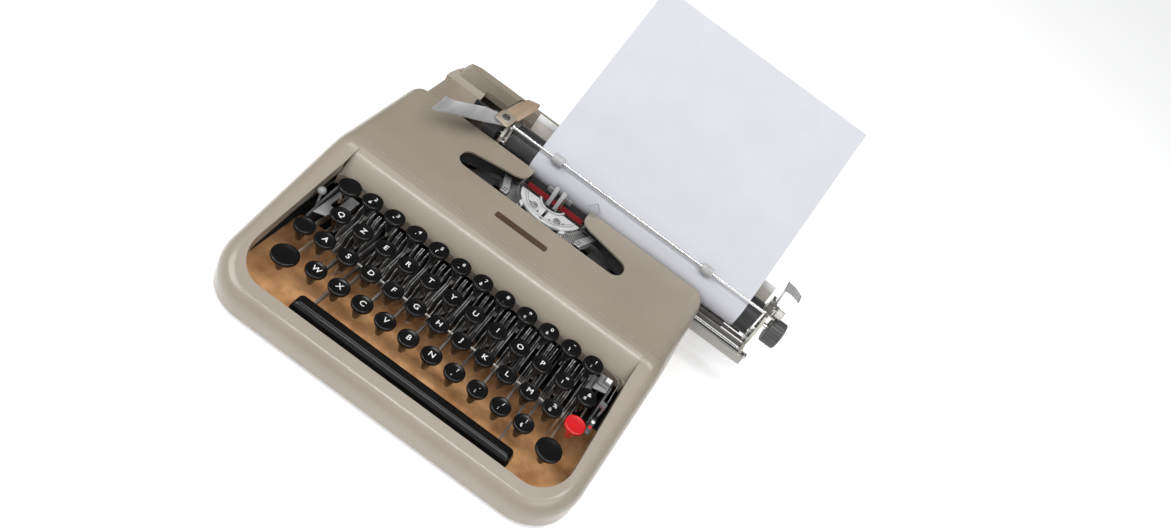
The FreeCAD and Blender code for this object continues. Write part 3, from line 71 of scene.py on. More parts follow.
class Finish:
    """A node material with its Principled shader and short ways to add to it."""

    def __init__(self, name, colour, roughness=0.5, metallic=0.0, coat=0.0, sheen=0.0):
        self.material = bpy.data.materials.new(name)
        self.material.use_nodes = True
        self.material.diffuse_color = (*colour, 1)
        self.tree = self.material.node_tree
        self.shader = self.tree.nodes["Principled BSDF"]
        self.shader.inputs["Base Color"].default_value = (*colour, 1)
        self.shader.inputs["Roughness"].default_value = roughness
        self.shader.inputs["Metallic"].default_value = metallic
        self.shader.inputs["Coat Weight"].default_value = coat
        self.shader.inputs["Coat Roughness"].default_value = 0.12
        self.shader.inputs["Sheen Weight"].default_value = sheen
        self.where = self.node("ShaderNodeTexCoord").outputs["Object"]

    def node(self, kind):
        return self.tree.nodes.new(kind)

    def link(self, output, target):
        self.tree.links.new(output, target)

    def stretched(self, scale):
        """The object's coordinates, stretched by a scale along each axis."""
        mapping = self.node("ShaderNodeMapping")
        self.link(self.where, mapping.inputs["Vector"])
        mapping.inputs["Scale"].default_value = scale
        return mapping.outputs["Vector"]

    def noise(self, scale, detail=3.0, stretch=(1, 1, 1), rough=0.5):
        made = self.node("ShaderNodeTexNoise")
        self.link(self.stretched(stretch), made.inputs["Vector"])
        made.inputs["Scale"].default_value = scale
        made.inputs["Detail"].default_value = detail
        made.inputs["Roughness"].default_value = rough
        return made.outputs["Fac"]

    def ramp(self, factor, *stops):
        made = self.node("ShaderNodeValToRGB")
        self.link(factor, made.inputs["Fac"])
        fill_ramp(made.color_ramp, stops)
        return made.outputs["Color"]

    def colour(self, output):
        self.link(output, self.shader.inputs["Base Color"])

    def mottle(self, dark, light, scale, detail=4.0, low=0.35, high=0.65, stretch=(1, 1, 1)):
        """Soft drift between two colours."""
        self.colour(self.ramp(self.noise(scale, detail, stretch), (low, dark), (high, light)))

    def banded(self, low, high, *stops):
        """Sharp bands of colour up the height between low and high, in metres."""
        parts = self.node("ShaderNodeSeparateXYZ")
        self.link(self.where, parts.inputs["Vector"])
        spread = self.node("ShaderNodeMapRange")
        self.link(parts.outputs["Z"], spread.inputs["Value"])
        spread.inputs["From Min"].default_value = low
        spread.inputs["From Max"].default_value = high
        made = self.ramp(spread.outputs["Result"], *stops)
        made.node.color_ramp.interpolation = "CONSTANT"
        return made

    def rough_drift(self, low, high, scale, stretch=(1, 1, 1)):
        made = self.node("ShaderNodeMapRange")
        self.link(self.noise(scale, 4.0, stretch), made.inputs["Value"])
        made.inputs["To Min"].default_value = low
        made.inputs["To Max"].default_value = high
        self.link(made.outputs["Result"], self.shader.inputs["Roughness"])

    def bump(self, height, strength, distance=0.0002):
        made = self.node("ShaderNodeBump")
        made.inputs["Strength"].default_value = strength
        made.inputs["Distance"].default_value = distance
        self.link(height, made.inputs["Height"])
        self.link(made.outputs["Normal"], self.shader.inputs["Normal"])


def enamel(name, dark, light, roughness, coat):
    """Stoved enamel with a faint orange-peel skin."""
    finish = Finish(name, light, roughness, coat=coat)
    finish.mottle(dark, light, 14.0)
    finish.rough_drift(roughness - 0.05, roughness + 0.08, 60.0)
    finish.bump(finish.noise(900.0, 2.0), 0.12, 0.0001)
    return finish


def brushed(name, dark, light, stretch, roughness):
    """Steel with fine lines running one way."""
    finish = Finish(name, light, roughness, metallic=1.0)
    finish.mottle(dark, light, 70.0, 4.0, 0.3, 0.7, stretch)
    finish.rough_drift(roughness - 0.08, roughness + 0.14, 90.0, stretch)
    finish.bump(finish.noise(400.0, 3.0, stretch), 0.15, 0.00005)
    return finish


def plated(name, dark, light, stretch, roughness):
    """Dull plated sheet, half metal, with fine lines running one way."""
    finish = Finish(name, light, roughness, metallic=0.45)
    finish.mottle(dark, light, 90.0, 4.0, 0.35, 0.65, stretch)
    finish.rough_drift(roughness - 0.08, roughness + 0.12, 90.0, stretch)
    finish.bump(finish.noise(400.0, 3.0, stretch), 0.15, 0.00005)
    return finish


ENAMELS = {
    # finish: (dark colour, light colour, roughness, coat)
    "case_enamel": ((0.272, 0.228, 0.176), (0.304, 0.257, 0.201), 0.42, 0.8),
    "badge_enamel": ((0.045, 0.022, 0.012), (0.075, 0.040, 0.022), 0.4, 0.25),
    "base_steel": ((0.02, 0.02, 0.02), (0.03, 0.03, 0.03), 0.5, 0.0),
    "frame_steel": ((0.022, 0.022, 0.024), (0.04, 0.04, 0.042), 0.38, 0.1),
    "spool_plastic": ((0.032, 0.030, 0.032), (0.046, 0.044, 0.046), 0.4, 0.0),
    "table_enamel": ((0.60, 0.56, 0.49), (0.68, 0.64, 0.565), 0.35, 0.1),
    "knob_plastic": ((0.045, 0.045, 0.046), (0.075, 0.075, 0.076), 0.45, 0.1),
    "white_enamel": ((0.80, 0.80, 0.79), (0.86, 0.86, 0.85), 0.4, 0.1),
    "tray_grey": ((0.036, 0.034, 0.035), (0.055, 0.052, 0.053), 0.5, 0.0),
}
BRUSHED = {
    # finish: (dark colour, light colour, stretch of the lines, roughness)
    "shaft_steel": ((0.45, 0.44, 0.42), (0.65, 0.64, 0.62), (0.05, 1, 1), 0.25),
    "carriage_nickel": ((0.42, 0.40, 0.36), (0.60, 0.58, 0.53), (0.06, 1, 1), 0.34),
    "bright_steel": ((0.48, 0.48, 0.47), (0.72, 0.72, 0.70), (0.06, 1, 1), 0.26),
    "screw_dark": ((0.10, 0.09, 0.08), (0.30, 0.28, 0.26), (1, 1, 1), 0.35),
    "selector_steel": ((0.4, 0.4, 0.4), (0.6, 0.6, 0.6), (1, 1, 0.2), 0.3),
}
PLATED = {
    # finish: (dark colour, light colour, stretch of the lines, roughness)
    "lever_steel": ((0.17, 0.165, 0.16), (0.46, 0.45, 0.44), (1, 0.06, 1), 0.4),
    "type_steel": ((0.20, 0.20, 0.20), (0.40, 0.40, 0.395), (1, 1, 0.4), 0.45),
    "segment_steel": ((0.66, 0.66, 0.66), (0.82, 0.82, 0.81), (1, 1, 1), 0.35),
    "bronze": ((0.40, 0.27, 0.17), (0.60, 0.46, 0.34), (1, 0.1, 1), 0.4),
    "guide_steel": ((0.24, 0.24, 0.24), (0.36, 0.36, 0.355), (1, 1, 0.5), 0.5),
    "fan_steel": ((0.11, 0.11, 0.11), (0.28, 0.28, 0.275), (1, 0.12, 1), 0.45),
    "lever_nickel": ((0.40, 0.40, 0.40), (0.56, 0.56, 0.56), (1, 0.2, 1), 0.33),
    "plate_grey": ((0.20, 0.20, 0.205), (0.36, 0.36, 0.365), (0.3, 1, 1), 0.5),
    "comb_steel": ((0.42, 0.40, 0.37), (0.70, 0.68, 0.64), (0.06, 1, 1), 0.35),
    "lever_pale": ((0.36, 0.28, 0.20), (0.58, 0.50, 0.40), (1, 0.06, 1), 0.4),
    "blade_steel": ((0.15, 0.147, 0.143), (0.46, 0.45, 0.44), (1, 0.08, 1), 0.42),
    "tongue_steel": ((0.30, 0.30, 0.30), (0.44, 0.44, 0.435), (1, 1, 0.3), 0.45),
    "rail_grey": ((0.30, 0.29, 0.27), (0.42, 0.41, 0.385), (0.06, 1, 1), 0.45),
}


def make_finishes():
    """Every finish of the machine, by name."""
    made = {name: enamel(name, *look) for name, look in ENAMELS.items()}
    made.update({name: brushed(name, *look) for name, look in BRUSHED.items()})
    made.update({name: plated(name, *look) for name, look in PLATED.items()})
    made["case_enamel"].shader.inputs["Coat Roughness"].default_value = 0.17
    felt = Finish("felt", (0.66, 0.33, 0.13), 0.95, sheen=0.35)
    felt.mottle((0.46, 0.20, 0.065), (0.84, 0.45, 0.19), 60.0, 6.0)
    felt.bump(felt.noise(1400.0, 6.0, rough=0.7), 0.9, 0.0006)
    made["felt"] = felt
    rubber = Finish("foot_rubber", (0.02, 0.02, 0.02), 0.8)
    rubber.mottle((0.014, 0.014, 0.014), (0.03, 0.03, 0.03), 200.0)
    rubber.bump(rubber.noise(1500.0), 0.4)
    made["foot_rubber"] = rubber
    key = Finish("key_plastic", (0.004, 0.004, 0.004), 0.14)
    key.mottle((0.003, 0.003, 0.003), (0.006, 0.0055, 0.0055), 60.0)
    key.rough_drift(0.10, 0.18, 120.0)
    key.shader.inputs["Specular IOR Level"].default_value = 0.4
    made["key_plastic"] = key
    red = Finish("tab_red", (0.62, 0.008, 0.012), 0.22, coat=0.5)
    red.mottle((0.55, 0.006, 0.010), (0.66, 0.012, 0.016), 60.0)
    made["tab_red"] = red
    white = Finish("legend_white", (0.80, 0.80, 0.78), 0.45)
    white.mottle((0.70, 0.70, 0.67), (0.84, 0.84, 0.82), 300.0)
    made["legend_white"] = white
    ribbon = Finish("ribbon_cloth", (0.45, 0.008, 0.018), 0.8, sheen=0.2)
    bands = ((0.0, (0.10, 0.03, 0.012)), (0.05, (0.42, 0.008, 0.020)), (0.47, (0.10, 0.03, 0.012)),
             (0.52, (0.022, 0.018, 0.018)))
    ribbon.colour(ribbon.banded(RIBBON_FOOT, RIBBON_TOP, *bands))
    ribbon.bump(ribbon.noise(2500.0, 2.0), 0.3, 0.0001)
    made["ribbon_cloth"] = ribbon
    # Painted shade: the ribbon's sides are all black, its red band darkened where they run in shadow under
    # the cover's ears.
    shaded_ribbon = Finish("ribbon_shaded_black", (0.02, 0.018, 0.018), 0.8, sheen=0.2)
    shaded_ribbon.mottle((0.014, 0.013, 0.013), (0.03, 0.028, 0.028), 200.0)
    shaded_ribbon.bump(shaded_ribbon.noise(2500.0, 2.0), 0.3, 0.0001)
    made["ribbon_shaded_black"] = shaded_ribbon
    chrome = Finish("chrome", (0.78, 0.78, 0.77), 0.12, metallic=1.0)
    chrome.mottle((0.68, 0.68, 0.67), (0.84, 0.84, 0.83), 40.0)
    chrome.rough_drift(0.08, 0.2, 150.0)
    made["chrome"] = chrome
    paper = Finish("paper", (0.535, 0.54, 0.572), 0.8)
    paper.mottle((0.525, 0.53, 0.562), (0.545, 0.55, 0.582), 30.0)
    paper.bump(paper.noise(1200.0, 5.0), 0.12, 0.0001)
    made["paper"] = paper
    platen = Finish("platen_rubber", (0.018, 0.018, 0.019), 0.45)
    platen.mottle((0.014, 0.014, 0.015), (0.028, 0.028, 0.029), 90.0)
    platen.bump(platen.noise(900.0), 0.25)
    made["platen_rubber"] = platen
    feed = Finish("feed_rubber", (0.06, 0.055, 0.05), 0.7)
    feed.mottle((0.05, 0.045, 0.04), (0.08, 0.07, 0.065), 120.0)
    made["feed_rubber"] = feed
    bail = Finish("bail_rubber", (0.40, 0.40, 0.40), 0.4)
    bail.mottle((0.34, 0.34, 0.335), (0.46, 0.46, 0.455), 160.0)
    made["bail_rubber"] = bail
    brass = Finish("bell_brass", (0.72, 0.50, 0.20), 0.22, metallic=1.0)
    brass.mottle((0.60, 0.40, 0.15), (0.78, 0.55, 0.23), 60.0)
    made["bell_brass"] = brass
    return made


FINISHES = make_finishes()
# ribbon_sides take the all-black painted shade finish in place of the red and black ribbon.
OWN_FINISH = {"ribbon_sides": "ribbon_shaded_black", "type_guide": "guide_steel", "lever_comb": "comb_steel",
              "front_rail": "rail_grey"}


def dress_nodes():
    """Give every node of the frame the finish of its slot, or one of its own."""
    for part in frame["record"]["subparts"]:
        node = frame["nodes"][part["node"]]
        finish = OWN_FINISH.get(part["node"], part["material_slot"])
        for slot in node.material_slots:
            slot.material = FINISHES[finish].material


dress_nodes()


# ---------------------------------------------------------------- making pieces
WELD = 0.000002


def ride_piece(name, mesh, finish, body, crease):
    """Make a mesh a piece of the given finish that rides on a body."""
    mesh.shade_smooth()
    mesh.set_sharp_from_angle(angle=math.radians(crease))
    mesh.materials.clear()
    mesh.materials.append(FINISHES[finish].material)
    piece = bpy.data.objects.new(name, mesh)
    bpy.context.collection.objects.link(piece)
    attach(piece, body)
    return piece


def finish_piece(name, shape, finish, body, crease=40):
    """Turn a finished bmesh into a piece that rides on a body."""
    bmesh.ops.remove_doubles(shape, verts=shape.verts, dist=WELD)
    bmesh.ops.recalc_face_normals(shape, faces=shape.faces)
    mesh = bpy.data.meshes.new(name)
    shape.to_mesh(mesh)
    shape.free()
    return ride_piece(name, mesh, finish, body, crease)


TURNS = {"Z": Matrix.Identity(4), "X": Matrix.Rotation(math.radians(90), 4, "Y")}


def turned(shape, profile, centre, axis="Z", steps=40):
    """Spin a profile of (radius, height) points about an axis through centre, all in millimetres."""
    middle = Vector(centre) * MM
    place = Matrix.Translation(middle) @ TURNS[axis]
    points = [shape.verts.new(place @ Vector((radius * MM, 0, height * MM))) for radius, height in profile]
    edges = [shape.edges.new(pair) for pair in zip(points, points[1:])]
    direction = place.to_3x3() @ Vector((0, 0, 1))
    bmesh.ops.spin(shape, geom=points + edges, cent=middle, axis=direction, angle=math.tau,
                   steps=steps, use_merge=True)


def round_edges(shape, edges, offset, segments):
    """Round edges by an offset in millimetres."""
    bmesh.ops.bevel(shape, geom=list(edges), offset=offset * MM, segments=segments, profile=0.5,
                    affect="EDGES", material=-1)


def block(shape, low, high, bevel=0.0, segments=2):
    """A box between two corners, its edges rounded by bevel, all in millimetres."""
    low = Vector(low) * MM
    high = Vector(high) * MM
    size = high - low
    place = Matrix.Translation((low + high) / 2) @ Matrix.Diagonal((*size, 1))
    made = bmesh.ops.create_cube(shape, size=1, matrix=place)
    if bevel:
        round_edges(shape, {edge for vert in made["verts"] for edge in vert.link_edges}, bevel, segments)


def plate(shape, outline, push, bevel=0.0, segments=2):
    """Push an outline through a vector, both in metres, and round the rims by bevel in millimetres."""
    corners = [shape.verts.new(point) for point in outline]
    face = shape.faces.new(corners)
    made = bmesh.ops.extrude_face_region(shape, geom=[face])
    moved = [item for item in made["geom"] if isinstance(item, bmesh.types.BMVert)]
    bmesh.ops.translate(shape, verts=moved, vec=push)
    if bevel:
        round_edges(shape, {edge for vert in corners + moved for edge in vert.link_edges}, bevel, segments)


def sheet(shape, outline, height, thick, bevel, segments=2):
    """A level sheet from an outline of (x, y) points at a height, all in millimetres."""
    corners = [Vector((x, y, height)) * MM for x, y in outline]
    plate(shape, corners, Vector((0, 0, thick * MM)), bevel, segments)


def rib(shape, outline, x, thick, bevel=0.0):
    """An upright sheet from an outline of (y, z) points, standing at x, all in millimetres."""
    plate(shape, [Vector((x, y, z)) * MM for y, z in outline], Vector((thick * MM, 0, 0)), bevel)


def thicken(shape, thick):
    """Give a curved sheet a thickness downwards, in millimetres."""
    grown = bmesh.ops.extrude_face_region(shape, geom=list(shape.faces))
    moved = [item for item in grown["geom"] if isinstance(item, bmesh.types.BMVert)]
    bmesh.ops.translate(shape, verts=moved, vec=(0, 0, -thick * MM))


def curve_mesh(curve):
    """The mesh of a wire or of a word."""
    holder = bpy.data.objects.new(curve.name, curve)
    bpy.context.collection.objects.link(holder)
    mesh = bpy.data.meshes.new_from_object(holder)
    bpy.data.objects.remove(holder)
    return mesh


def wire_piece(name, points, radius, finish, body):
    """A bent wire through points, its radius and its places in millimetres."""
    curve = bpy.data.curves.new(name + "_path", "CURVE")
    curve.dimensions = "3D"
    curve.bevel_depth = radius * MM
    curve.bevel_resolution = 4
    curve.use_fill_caps = True
    spline = curve.splines.new("BEZIER")
    spline.bezier_points.add(len(points) - 1)
    for knot, place in zip(spline.bezier_points, points):
        knot.co = Vector(place) * MM
        knot.handle_left_type = "VECTOR"
        knot.handle_right_type = "VECTOR"
    mesh = curve_mesh(curve)
    mesh.name = name
    return ride_piece(name, mesh, finish, body, 60)


def screw(shape, centre, radius, tall=1.2, slot_turn=30):
    """A screw head of two half discs with the slot between them, on centre in millimetres."""
    turn = Matrix.Rotation(math.radians(slot_turn), 4, "Z")
    gap = radius * 0.14
    for side in (-1, 1):
        outline = []
        for i in range(13):
            angle = math.asin(gap / radius) + (math.pi - 2 * math.asin(gap / radius)) * i / 12
            outline.append(Vector((radius * math.cos(angle), side * radius * math.sin(angle), 0)))
        outline = [(Vector(centre) + turn @ corner) * MM for corner in outline]
        plate(shape, outline, Vector((0, 0, tall * MM)), radius * 0.1)
    turned(shape, [(0, tall * 0.45), (radius * 0.97, tall * 0.45), (radius * 0.97, 0), (0, 0)],
           centre, "Z", 28)


def arc_bar(shape, profile, centre, start, sweep, steps=48):
    """Sweep a closed (radius, height) profile about an upright axis, in millimetres and degrees."""
    turn = Matrix.Rotation(math.radians(start), 4, "Z")
    middle = Vector(centre) * MM
    points = [shape.verts.new(middle + turn @ Vector((radius * MM, 0, height * MM)))
              for radius, height in profile]
    face = shape.faces.new(points)
    bmesh.ops.spin(shape, geom=[face, *face.edges, *points], cent=middle, axis=(0, 0, 1),
                   angle=math.radians(sweep), steps=steps)


# ---------------------------------------------------------------- keyboard
ROWS = {
    # name: (caps in the row, legends from left to right; a space parts upper and lower sign)
    "number": (11, ["2 é", "3 \"", "4 '", "5 (", "6 -", "7 è", "8 _", "9 ç", "0 à", "° )", "! ;"]),
    "upper": (12, ["Q", "Z", "E", "R", "T", "Y", "U", "I", "O", "P", "= ì", "& $"]),
    "home": (11, ["A", "S", "D", "F", "G", "H", "J", "K", "L", "M", "% ù"]),
    "lower": (10, ["W", "X", "C", "V", "B", "N", "? ,", ". ;", "/ :", "! §"]),
}
CAP_RADIUS = 7.8
CAP_THICK = 4.6


def key_cap(shape, x, y, top, radius=CAP_RADIUS, lug=9):
    """A dished round cap with a rolled rim and the tapering lug under its front."""
    r = radius
    turned(shape, [(0, -0.62), (r * 0.45, -0.50), (r * 0.72, -0.24), (r * 0.84, -0.06), (r * 0.90, 0),
                   (r * 0.95, -0.10), (r * 0.985, -0.42), (r, -1.0), (r * 0.995, -2.4), (r * 0.95, -3.2),
                   (r * 0.86, -CAP_THICK + 0.5), (r * 0.80, -CAP_THICK), (0, -CAP_THICK)],
           (x, y, top), steps=44)
    boss = Vector((x, y - 2.6, top - CAP_THICK + 0.3 - lug / 2)) * MM
    made = bmesh.ops.create_cone(shape, cap_ends=True, segments=20, radius1=2.1 * MM, radius2=4.3 * MM,
                                 depth=lug * MM, matrix=Matrix.Translation(boss))
    foot = [edge for vert in made["verts"] for edge in vert.link_edges
            if all(end.co.z < boss.z for end in edge.verts)]
    round_edges(shape, set(foot), 0.7, 3)


def row_centres(name, count):
    """The middle of each cap in a row, from left to right, in millimetres."""
    low, high = node_box("keytops_" + name)
    first = low.x / MM + CAP_RADIUS
    last = high.x / MM - CAP_RADIUS
    y = high.y / MM - CAP_RADIUS
    top = high.z / MM
    return [(first + (last - first) * i / (count - 1), y, top) for i in range(count)]


def legend_mesh(text, size, place):
    """A raised sign as a mesh, at its place on a cap, in millimetres."""
    curve = bpy.data.curves.new("legend", "FONT")
    curve.body = text
    curve.size = size * MM
    curve.align_x = "CENTER"
    curve.align_y = "CENTER"
    curve.extrude = 0.1 * MM
    curve.offset = 0.05 * MM
    mesh = curve_mesh(curve)
    mesh.transform(Matrix.Translation(Vector(place) * MM))
    return mesh


def make_rows():
    """The four rows of caps with their legends, each row on its own body."""
    for name, (count, legends) in ROWS.items():
        shape = bmesh.new()
        words = bmesh.new()
        for (x, y, top), legend in zip(row_centres(name, count), legends):
            key_cap(shape, x, y, top)
            signs = legend.split()
            spots = [(0, 0.2)] if len(signs) == 1 else [(0.9, 2.5), (-0.9, -2.5)]
            for sign, (dx, dy) in zip(signs, spots):
                size = 6.4 if len(signs) == 1 else 4.6
                mesh = legend_mesh(sign, size, (x + dx, y + dy, top - 0.5))
                words.from_mesh(mesh)
                bpy.data.meshes.remove(mesh)
        caps = finish_piece("caps_" + name, shape, "key_plastic", name + "_row", crease=50)
        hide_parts("keytops_" + name)
        finish_piece("legends_" + name, words, "legend_white", name + "_row", crease=30)


# ---------------------------------------------------------------- single keys and the space bar
SHAFT_Y = 10
SHAFT_Z = 16
LEVER_THICK = 1.4
SPACE_LEVERS = (-76.7, 79.7)
RIGHT_SHIFT_LEVER = 108.2
SINGLE_KEYS = {
    # node: (body, cap x, y, top, radius, lever x, lever height, cap finish)
    "shift_left_key": ("left_shift", -111, -120, 36.4, 10, -111, 24, "key_plastic"),
    "shift_right_key": ("right_shift", 111, -120, 36.4, 10, RIGHT_SHIFT_LEVER, 24, "key_plastic"),
    "shift_lock_key": ("lock_key", -117, -94, 43, 7.8, -118.2, 30, "key_plastic"),
    "backspace_key": ("back_key", -112, -57, 62.4, 8.6, -115, 45, "key_plastic"),
    "tabulator_key": ("tab_key", 116, -95, 44.2, 8, 117.4, 31, "tab_red"),
}


def key_lever(shape, x, key_y, low, top):
    """A flat lever that hangs on the shaft and carries a key at its front."""
    half = 2.25
    outline = [(SHAFT_Y + 5, SHAFT_Z - 5), (SHAFT_Y + 5, SHAFT_Z + 5), (SHAFT_Y - 3, SHAFT_Z + 5.5),
               (key_y + 4, low + half), (key_y + 1.6, top), (key_y - 1.6, top), (key_y - 2.2, low - half),
               (SHAFT_Y - 4, SHAFT_Z - 5)]
    edge = x - LEVER_THICK / 2
    rib(shape, outline, edge, LEVER_THICK, 0.25)


def make_single_keys():
    """The keys that stand alone, a cap and a lever each."""
    for node, (body, x, y, top, radius, lever_x, low, finish) in SINGLE_KEYS.items():
        shape = bmesh.new()
        key_cap(shape, x, y, top, radius, 6 if node == "backspace_key" else 9)
        cap = finish_piece(node + "_cap", shape, finish, body, crease=50)
        shape = bmesh.new()
        key_lever(shape, lever_x, y, low, top - CAP_THICK)
        blade = finish_piece(node + "_lever", shape, "lever_pale", body)
        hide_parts(node)
        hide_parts(node)


def make_space_bar():
    """The space bar with its two arms."""
    low, high = node_box("space_bar")
    front = low.y / MM
    rear = front + 15
    top = high.z / MM
    shape = bmesh.new()
    made = bmesh.ops.create_cube(shape, size=1)
    for vert in made["verts"]:
        upper = vert.co.z > 0
        end = high.x / MM if vert.co.x > 0 else low.x / MM
        end_slope = 2.6 if upper else 0.0
        rear_slope = 1.2 if upper else 0
        front_slope = 3.6 if upper else 0
        vert.co.x = (end - math.copysign(end_slope, vert.co.x)) * MM
        vert.co.y = (rear - rear_slope if vert.co.y > 0 else front + front_slope) * MM
        vert.co.z = (top if upper else top - 8.5) * MM
    round_edges(shape, shape.edges, 3, 7)
    bar = finish_piece("space_bar_moulding", shape, "key_plastic", "space_key", crease=60)
    shape = bmesh.new()
    for x in SPACE_LEVERS:
        key_lever(shape, x, -138, 18, top - 7.5)
    arms = finish_piece("space_bar_levers", shape, "lever_steel", "space_key")
    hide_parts("space_bar")
    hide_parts("space_bar")


# ---------------------------------------------------------------- type basket and ribbon
PRINT_X = 2
RING_CENTRE = (PRINT_X, 68, 0)
GUIDE_PLACES = (-29, 33)
POST_FRONT = 59.5
POST_REAR = 61.3


def make_segment():
    """The bright ring over the type bars, its ridges and screws, and the grey fans beside it."""
    shape = bmesh.new()
    for inner, outer, top in ((27.2, 29.4, 61.5), (23.6, 24.6, 61.3), (11.2, 12.6, 61.5)):
        arc_bar(shape, [(inner, 60.8), (inner, top), (outer, top), (outer, 60.8)], RING_CENTRE, 196, 148)
    for angle in range(200, 341, 5):
        turn = math.radians(angle)
        spot = (RING_CENTRE[0] + 26.1 * math.cos(turn), RING_CENTRE[1] + 26.1 * math.sin(turn), 61.05)
        turned(shape, [(0, 0.12), (0.35, 0.1), (0.4, 0)], spot, "Z", 8)
    finish_piece("segment_ribs", shape, "segment_steel", "basket")
    shape = bmesh.new()
    for radius in (25.1, 23.1, 13.1):
        arc_bar(shape, [(radius, 60.9), (radius, 61.25), (radius + 0.35, 61.25), (radius + 0.35, 60.9)],
                RING_CENTRE, 198, 144)
    finish_piece("segment_grooves", shape, "plate_grey", "basket")
    for side, x, y, turn in (("left", -9, 50, 40), ("right", 13.5, 50, 75)):
        shape = bmesh.new()
        screw(shape, (x, y, 62.2), 2.6, 0.9, turn)
        finish_piece("segment_screw_" + side, shape, "bright_steel", "basket")
        shape = bmesh.new()
        turned(shape, [(2.7, 62.2), (2.7, 62.45), (3.1, 62.45), (3.1, 62.2), (2.7, 62.2)],
               (x, y, 0), "Z", 28)
        finish_piece("segment_screw_rim_" + side, shape, "plate_grey", "basket")
    shape = bmesh.new()
    for x, y in ((-13.6, 51.4), (-3.6, 47.2), (8.0, 46.6), (18.6, 52.6)):
        turned(shape, [(0, 0.3), (0.8, 0.3), (1.0, 0.1), (1.0, 0)], (x, y, 61), "Z", 16)
    finish_piece("segment_pins", shape, "screw_dark", "basket")
    make_fans()


def make_fans():
    """The two grey fans where the type bars gather, with a dark line between each pair of bars."""
    shape = bmesh.new()
    for start, sweep in ((196, 40), (304, 40)):
        arc_bar(shape, [(29.6, 57.6), (29.6, 59.4), (33, 60.2), (44, 58.6), (46, 57.2), (46, 56.6)],
                RING_CENTRE, start, sweep, 24)
    finish_piece("segment_fans", shape, "fan_steel", "basket")
    shape = bmesh.new()
    for start in (198, 306):
        for step in range(13):
            slit = bmesh.ops.create_cube(shape, size=1)
            spin = Matrix.Rotation(math.radians(start + 3 * step), 4, "Z")
            lie = Matrix.Rotation(math.radians(8.3), 4, "Y")
            place = Matrix.Translation(Vector(RING_CENTRE) * MM) @ spin
            place = place @ Matrix.Translation(Vector((38.2, 0, 59.5)) * MM) @ lie
            bmesh.ops.transform(shape, verts=slit["verts"],
                                matrix=place @ Matrix.Diagonal((11 * MM, 0.55 * MM, 0.3 * MM, 1)))
    finish_piece("fan_slits", shape, "screw_dark", "basket")


def make_tongue():
    """The nib before the ribbon in two halves, with room for the type to pass between them."""
    foot = Vector((PRINT_X, 58.6, 62.5))
    rise = Vector((0, 8.3, 15)).normalized()
    front = Vector((0, -15, 8.3)).normalized()
    half = [(1.75, 0), (3.0, 0.4), (4.2, 1.5), (4.9, 3.4), (5.7, 15), (5.2, 16.4), (4.2, 17), (1.75, 17)]
    shape = bmesh.new()
    for side in (-1, 1):
        outline = [(foot + Vector((side * out, 0, 0)) + rise * up - front * 2.4) * MM for out, up in half]
        plate(shape, outline, front * 3.3 * MM, 0.3)
    tongue = finish_piece("guide_tongue", shape, "tongue_steel", "chassis")
    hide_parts("type_guide")
    shape = bmesh.new()
    for x0, x1 in ((-9.6, -3.6), (7.6, 13.6)):
        block(shape, (x0, 70.6, 65.4), (x1, 71.2, 69.6), 0.15)
        block(shape, (x0, 70.9, 69.0), (x1, 72.6, 69.9), 0.2)
    for x0, x1 in ((-3.8, -2), (6, 7.8)):
        block(shape, (x0, 70.9, 68.6), (x1, 72.2, 69.8), 0.2)
    finish_piece("ribbon_clips", shape, "guide_steel", "vibrator")
    shape = bmesh.new()
    for x0 in (-4.2, 7.3):
        block(shape, (x0, 70.4, 58.2), (x0 + 0.9, 71.0, 69.4), 0.15)
    finish_piece("ribbon_clip_edges", shape, "bronze", "vibrator")
    wire_piece("card_wire", [(31.4, 70.2, 68.8), (31.0, 70.3, 74.5), (24.8, 74.0, 74.5), (31.4, 76.4, 80.2),
                             (36.7, 75.1, 75.2), (33.6, 70.4, 74.5), (33.4, 70.2, 68.8)],
               0.42, "guide_steel", "chassis")


def make_guide_posts():
    """The posts under the nib and beside the ribbon, and the rollers that steer the ribbon."""
    shape = bmesh.new()
    for x, top in ((-2.5, 65), (6.5, 65), (-29, 63), (33, 63)):
        block(shape, (x - 1, POST_FRONT, 37), (x + 1, POST_REAR, top), 0.25)
        block(shape, (x - 1, POST_FRONT, 37), (x + 1, 65.5, 41), 0.25)
    for x in GUIDE_PLACES:
        block(shape, (x - 1, POST_FRONT, 61.4), (x + 1, 70.2, 63), 0.25)
    posts = finish_piece("guide_posts", shape, "guide_steel", "chassis")
    shape = bmesh.new()
    for x in GUIDE_PLACES:
        turned(shape, [(0, 69.2), (0.8, 69.2), (1.1, 68.9), (1.1, 57.3), (0.8, 57), (0, 57)],
               (x, 69.8, 0), "Z", 20)
    rollers = finish_piece("guide_rollers", shape, "bright_steel", "chassis")
    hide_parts("type_guide")
    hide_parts("type_guide")


def make_brackets():
    """The grey straps over the fans, each with a bright edge and two dark slots at its foot."""
    straps = {
        # side: (outline, then the x and y of its foot)
        "left": ([(-43.5, 60), (-37, 60), (-30.6, 44.5), (-31.2, 40.6), (-36.4, 39.6), (-37.4, 44.5)],
                 -37.2, 39.2),
        "right": ([(41, 60), (47.5, 60), (41.6, 44.5), (40.6, 39.6), (35.4, 40.6), (34.8, 44.5)],
                  34.9, 39.2),
    }
    for side, (outline, x, y) in straps.items():
        shape = bmesh.new()
        sheet(shape, outline, 61.2, 0.9, 0.25)
        finish_piece("strap_" + side, shape, "tongue_steel", "chassis")
        shape = bmesh.new()
        block(shape, (x, y, 55), (x + 6, y + 1, 62.5), 0.3)
        finish_piece("strap_foot_" + side, shape, "bright_steel", "chassis")
        shape = bmesh.new()
        for back in (2.6, 5.4):
            block(shape, (x + 0.8, y + back, 62.0), (x + 5.0, y + back + 1.0, 62.3), 0.1)
        finish_piece("strap_slots_" + side, shape, "screw_dark", "chassis")


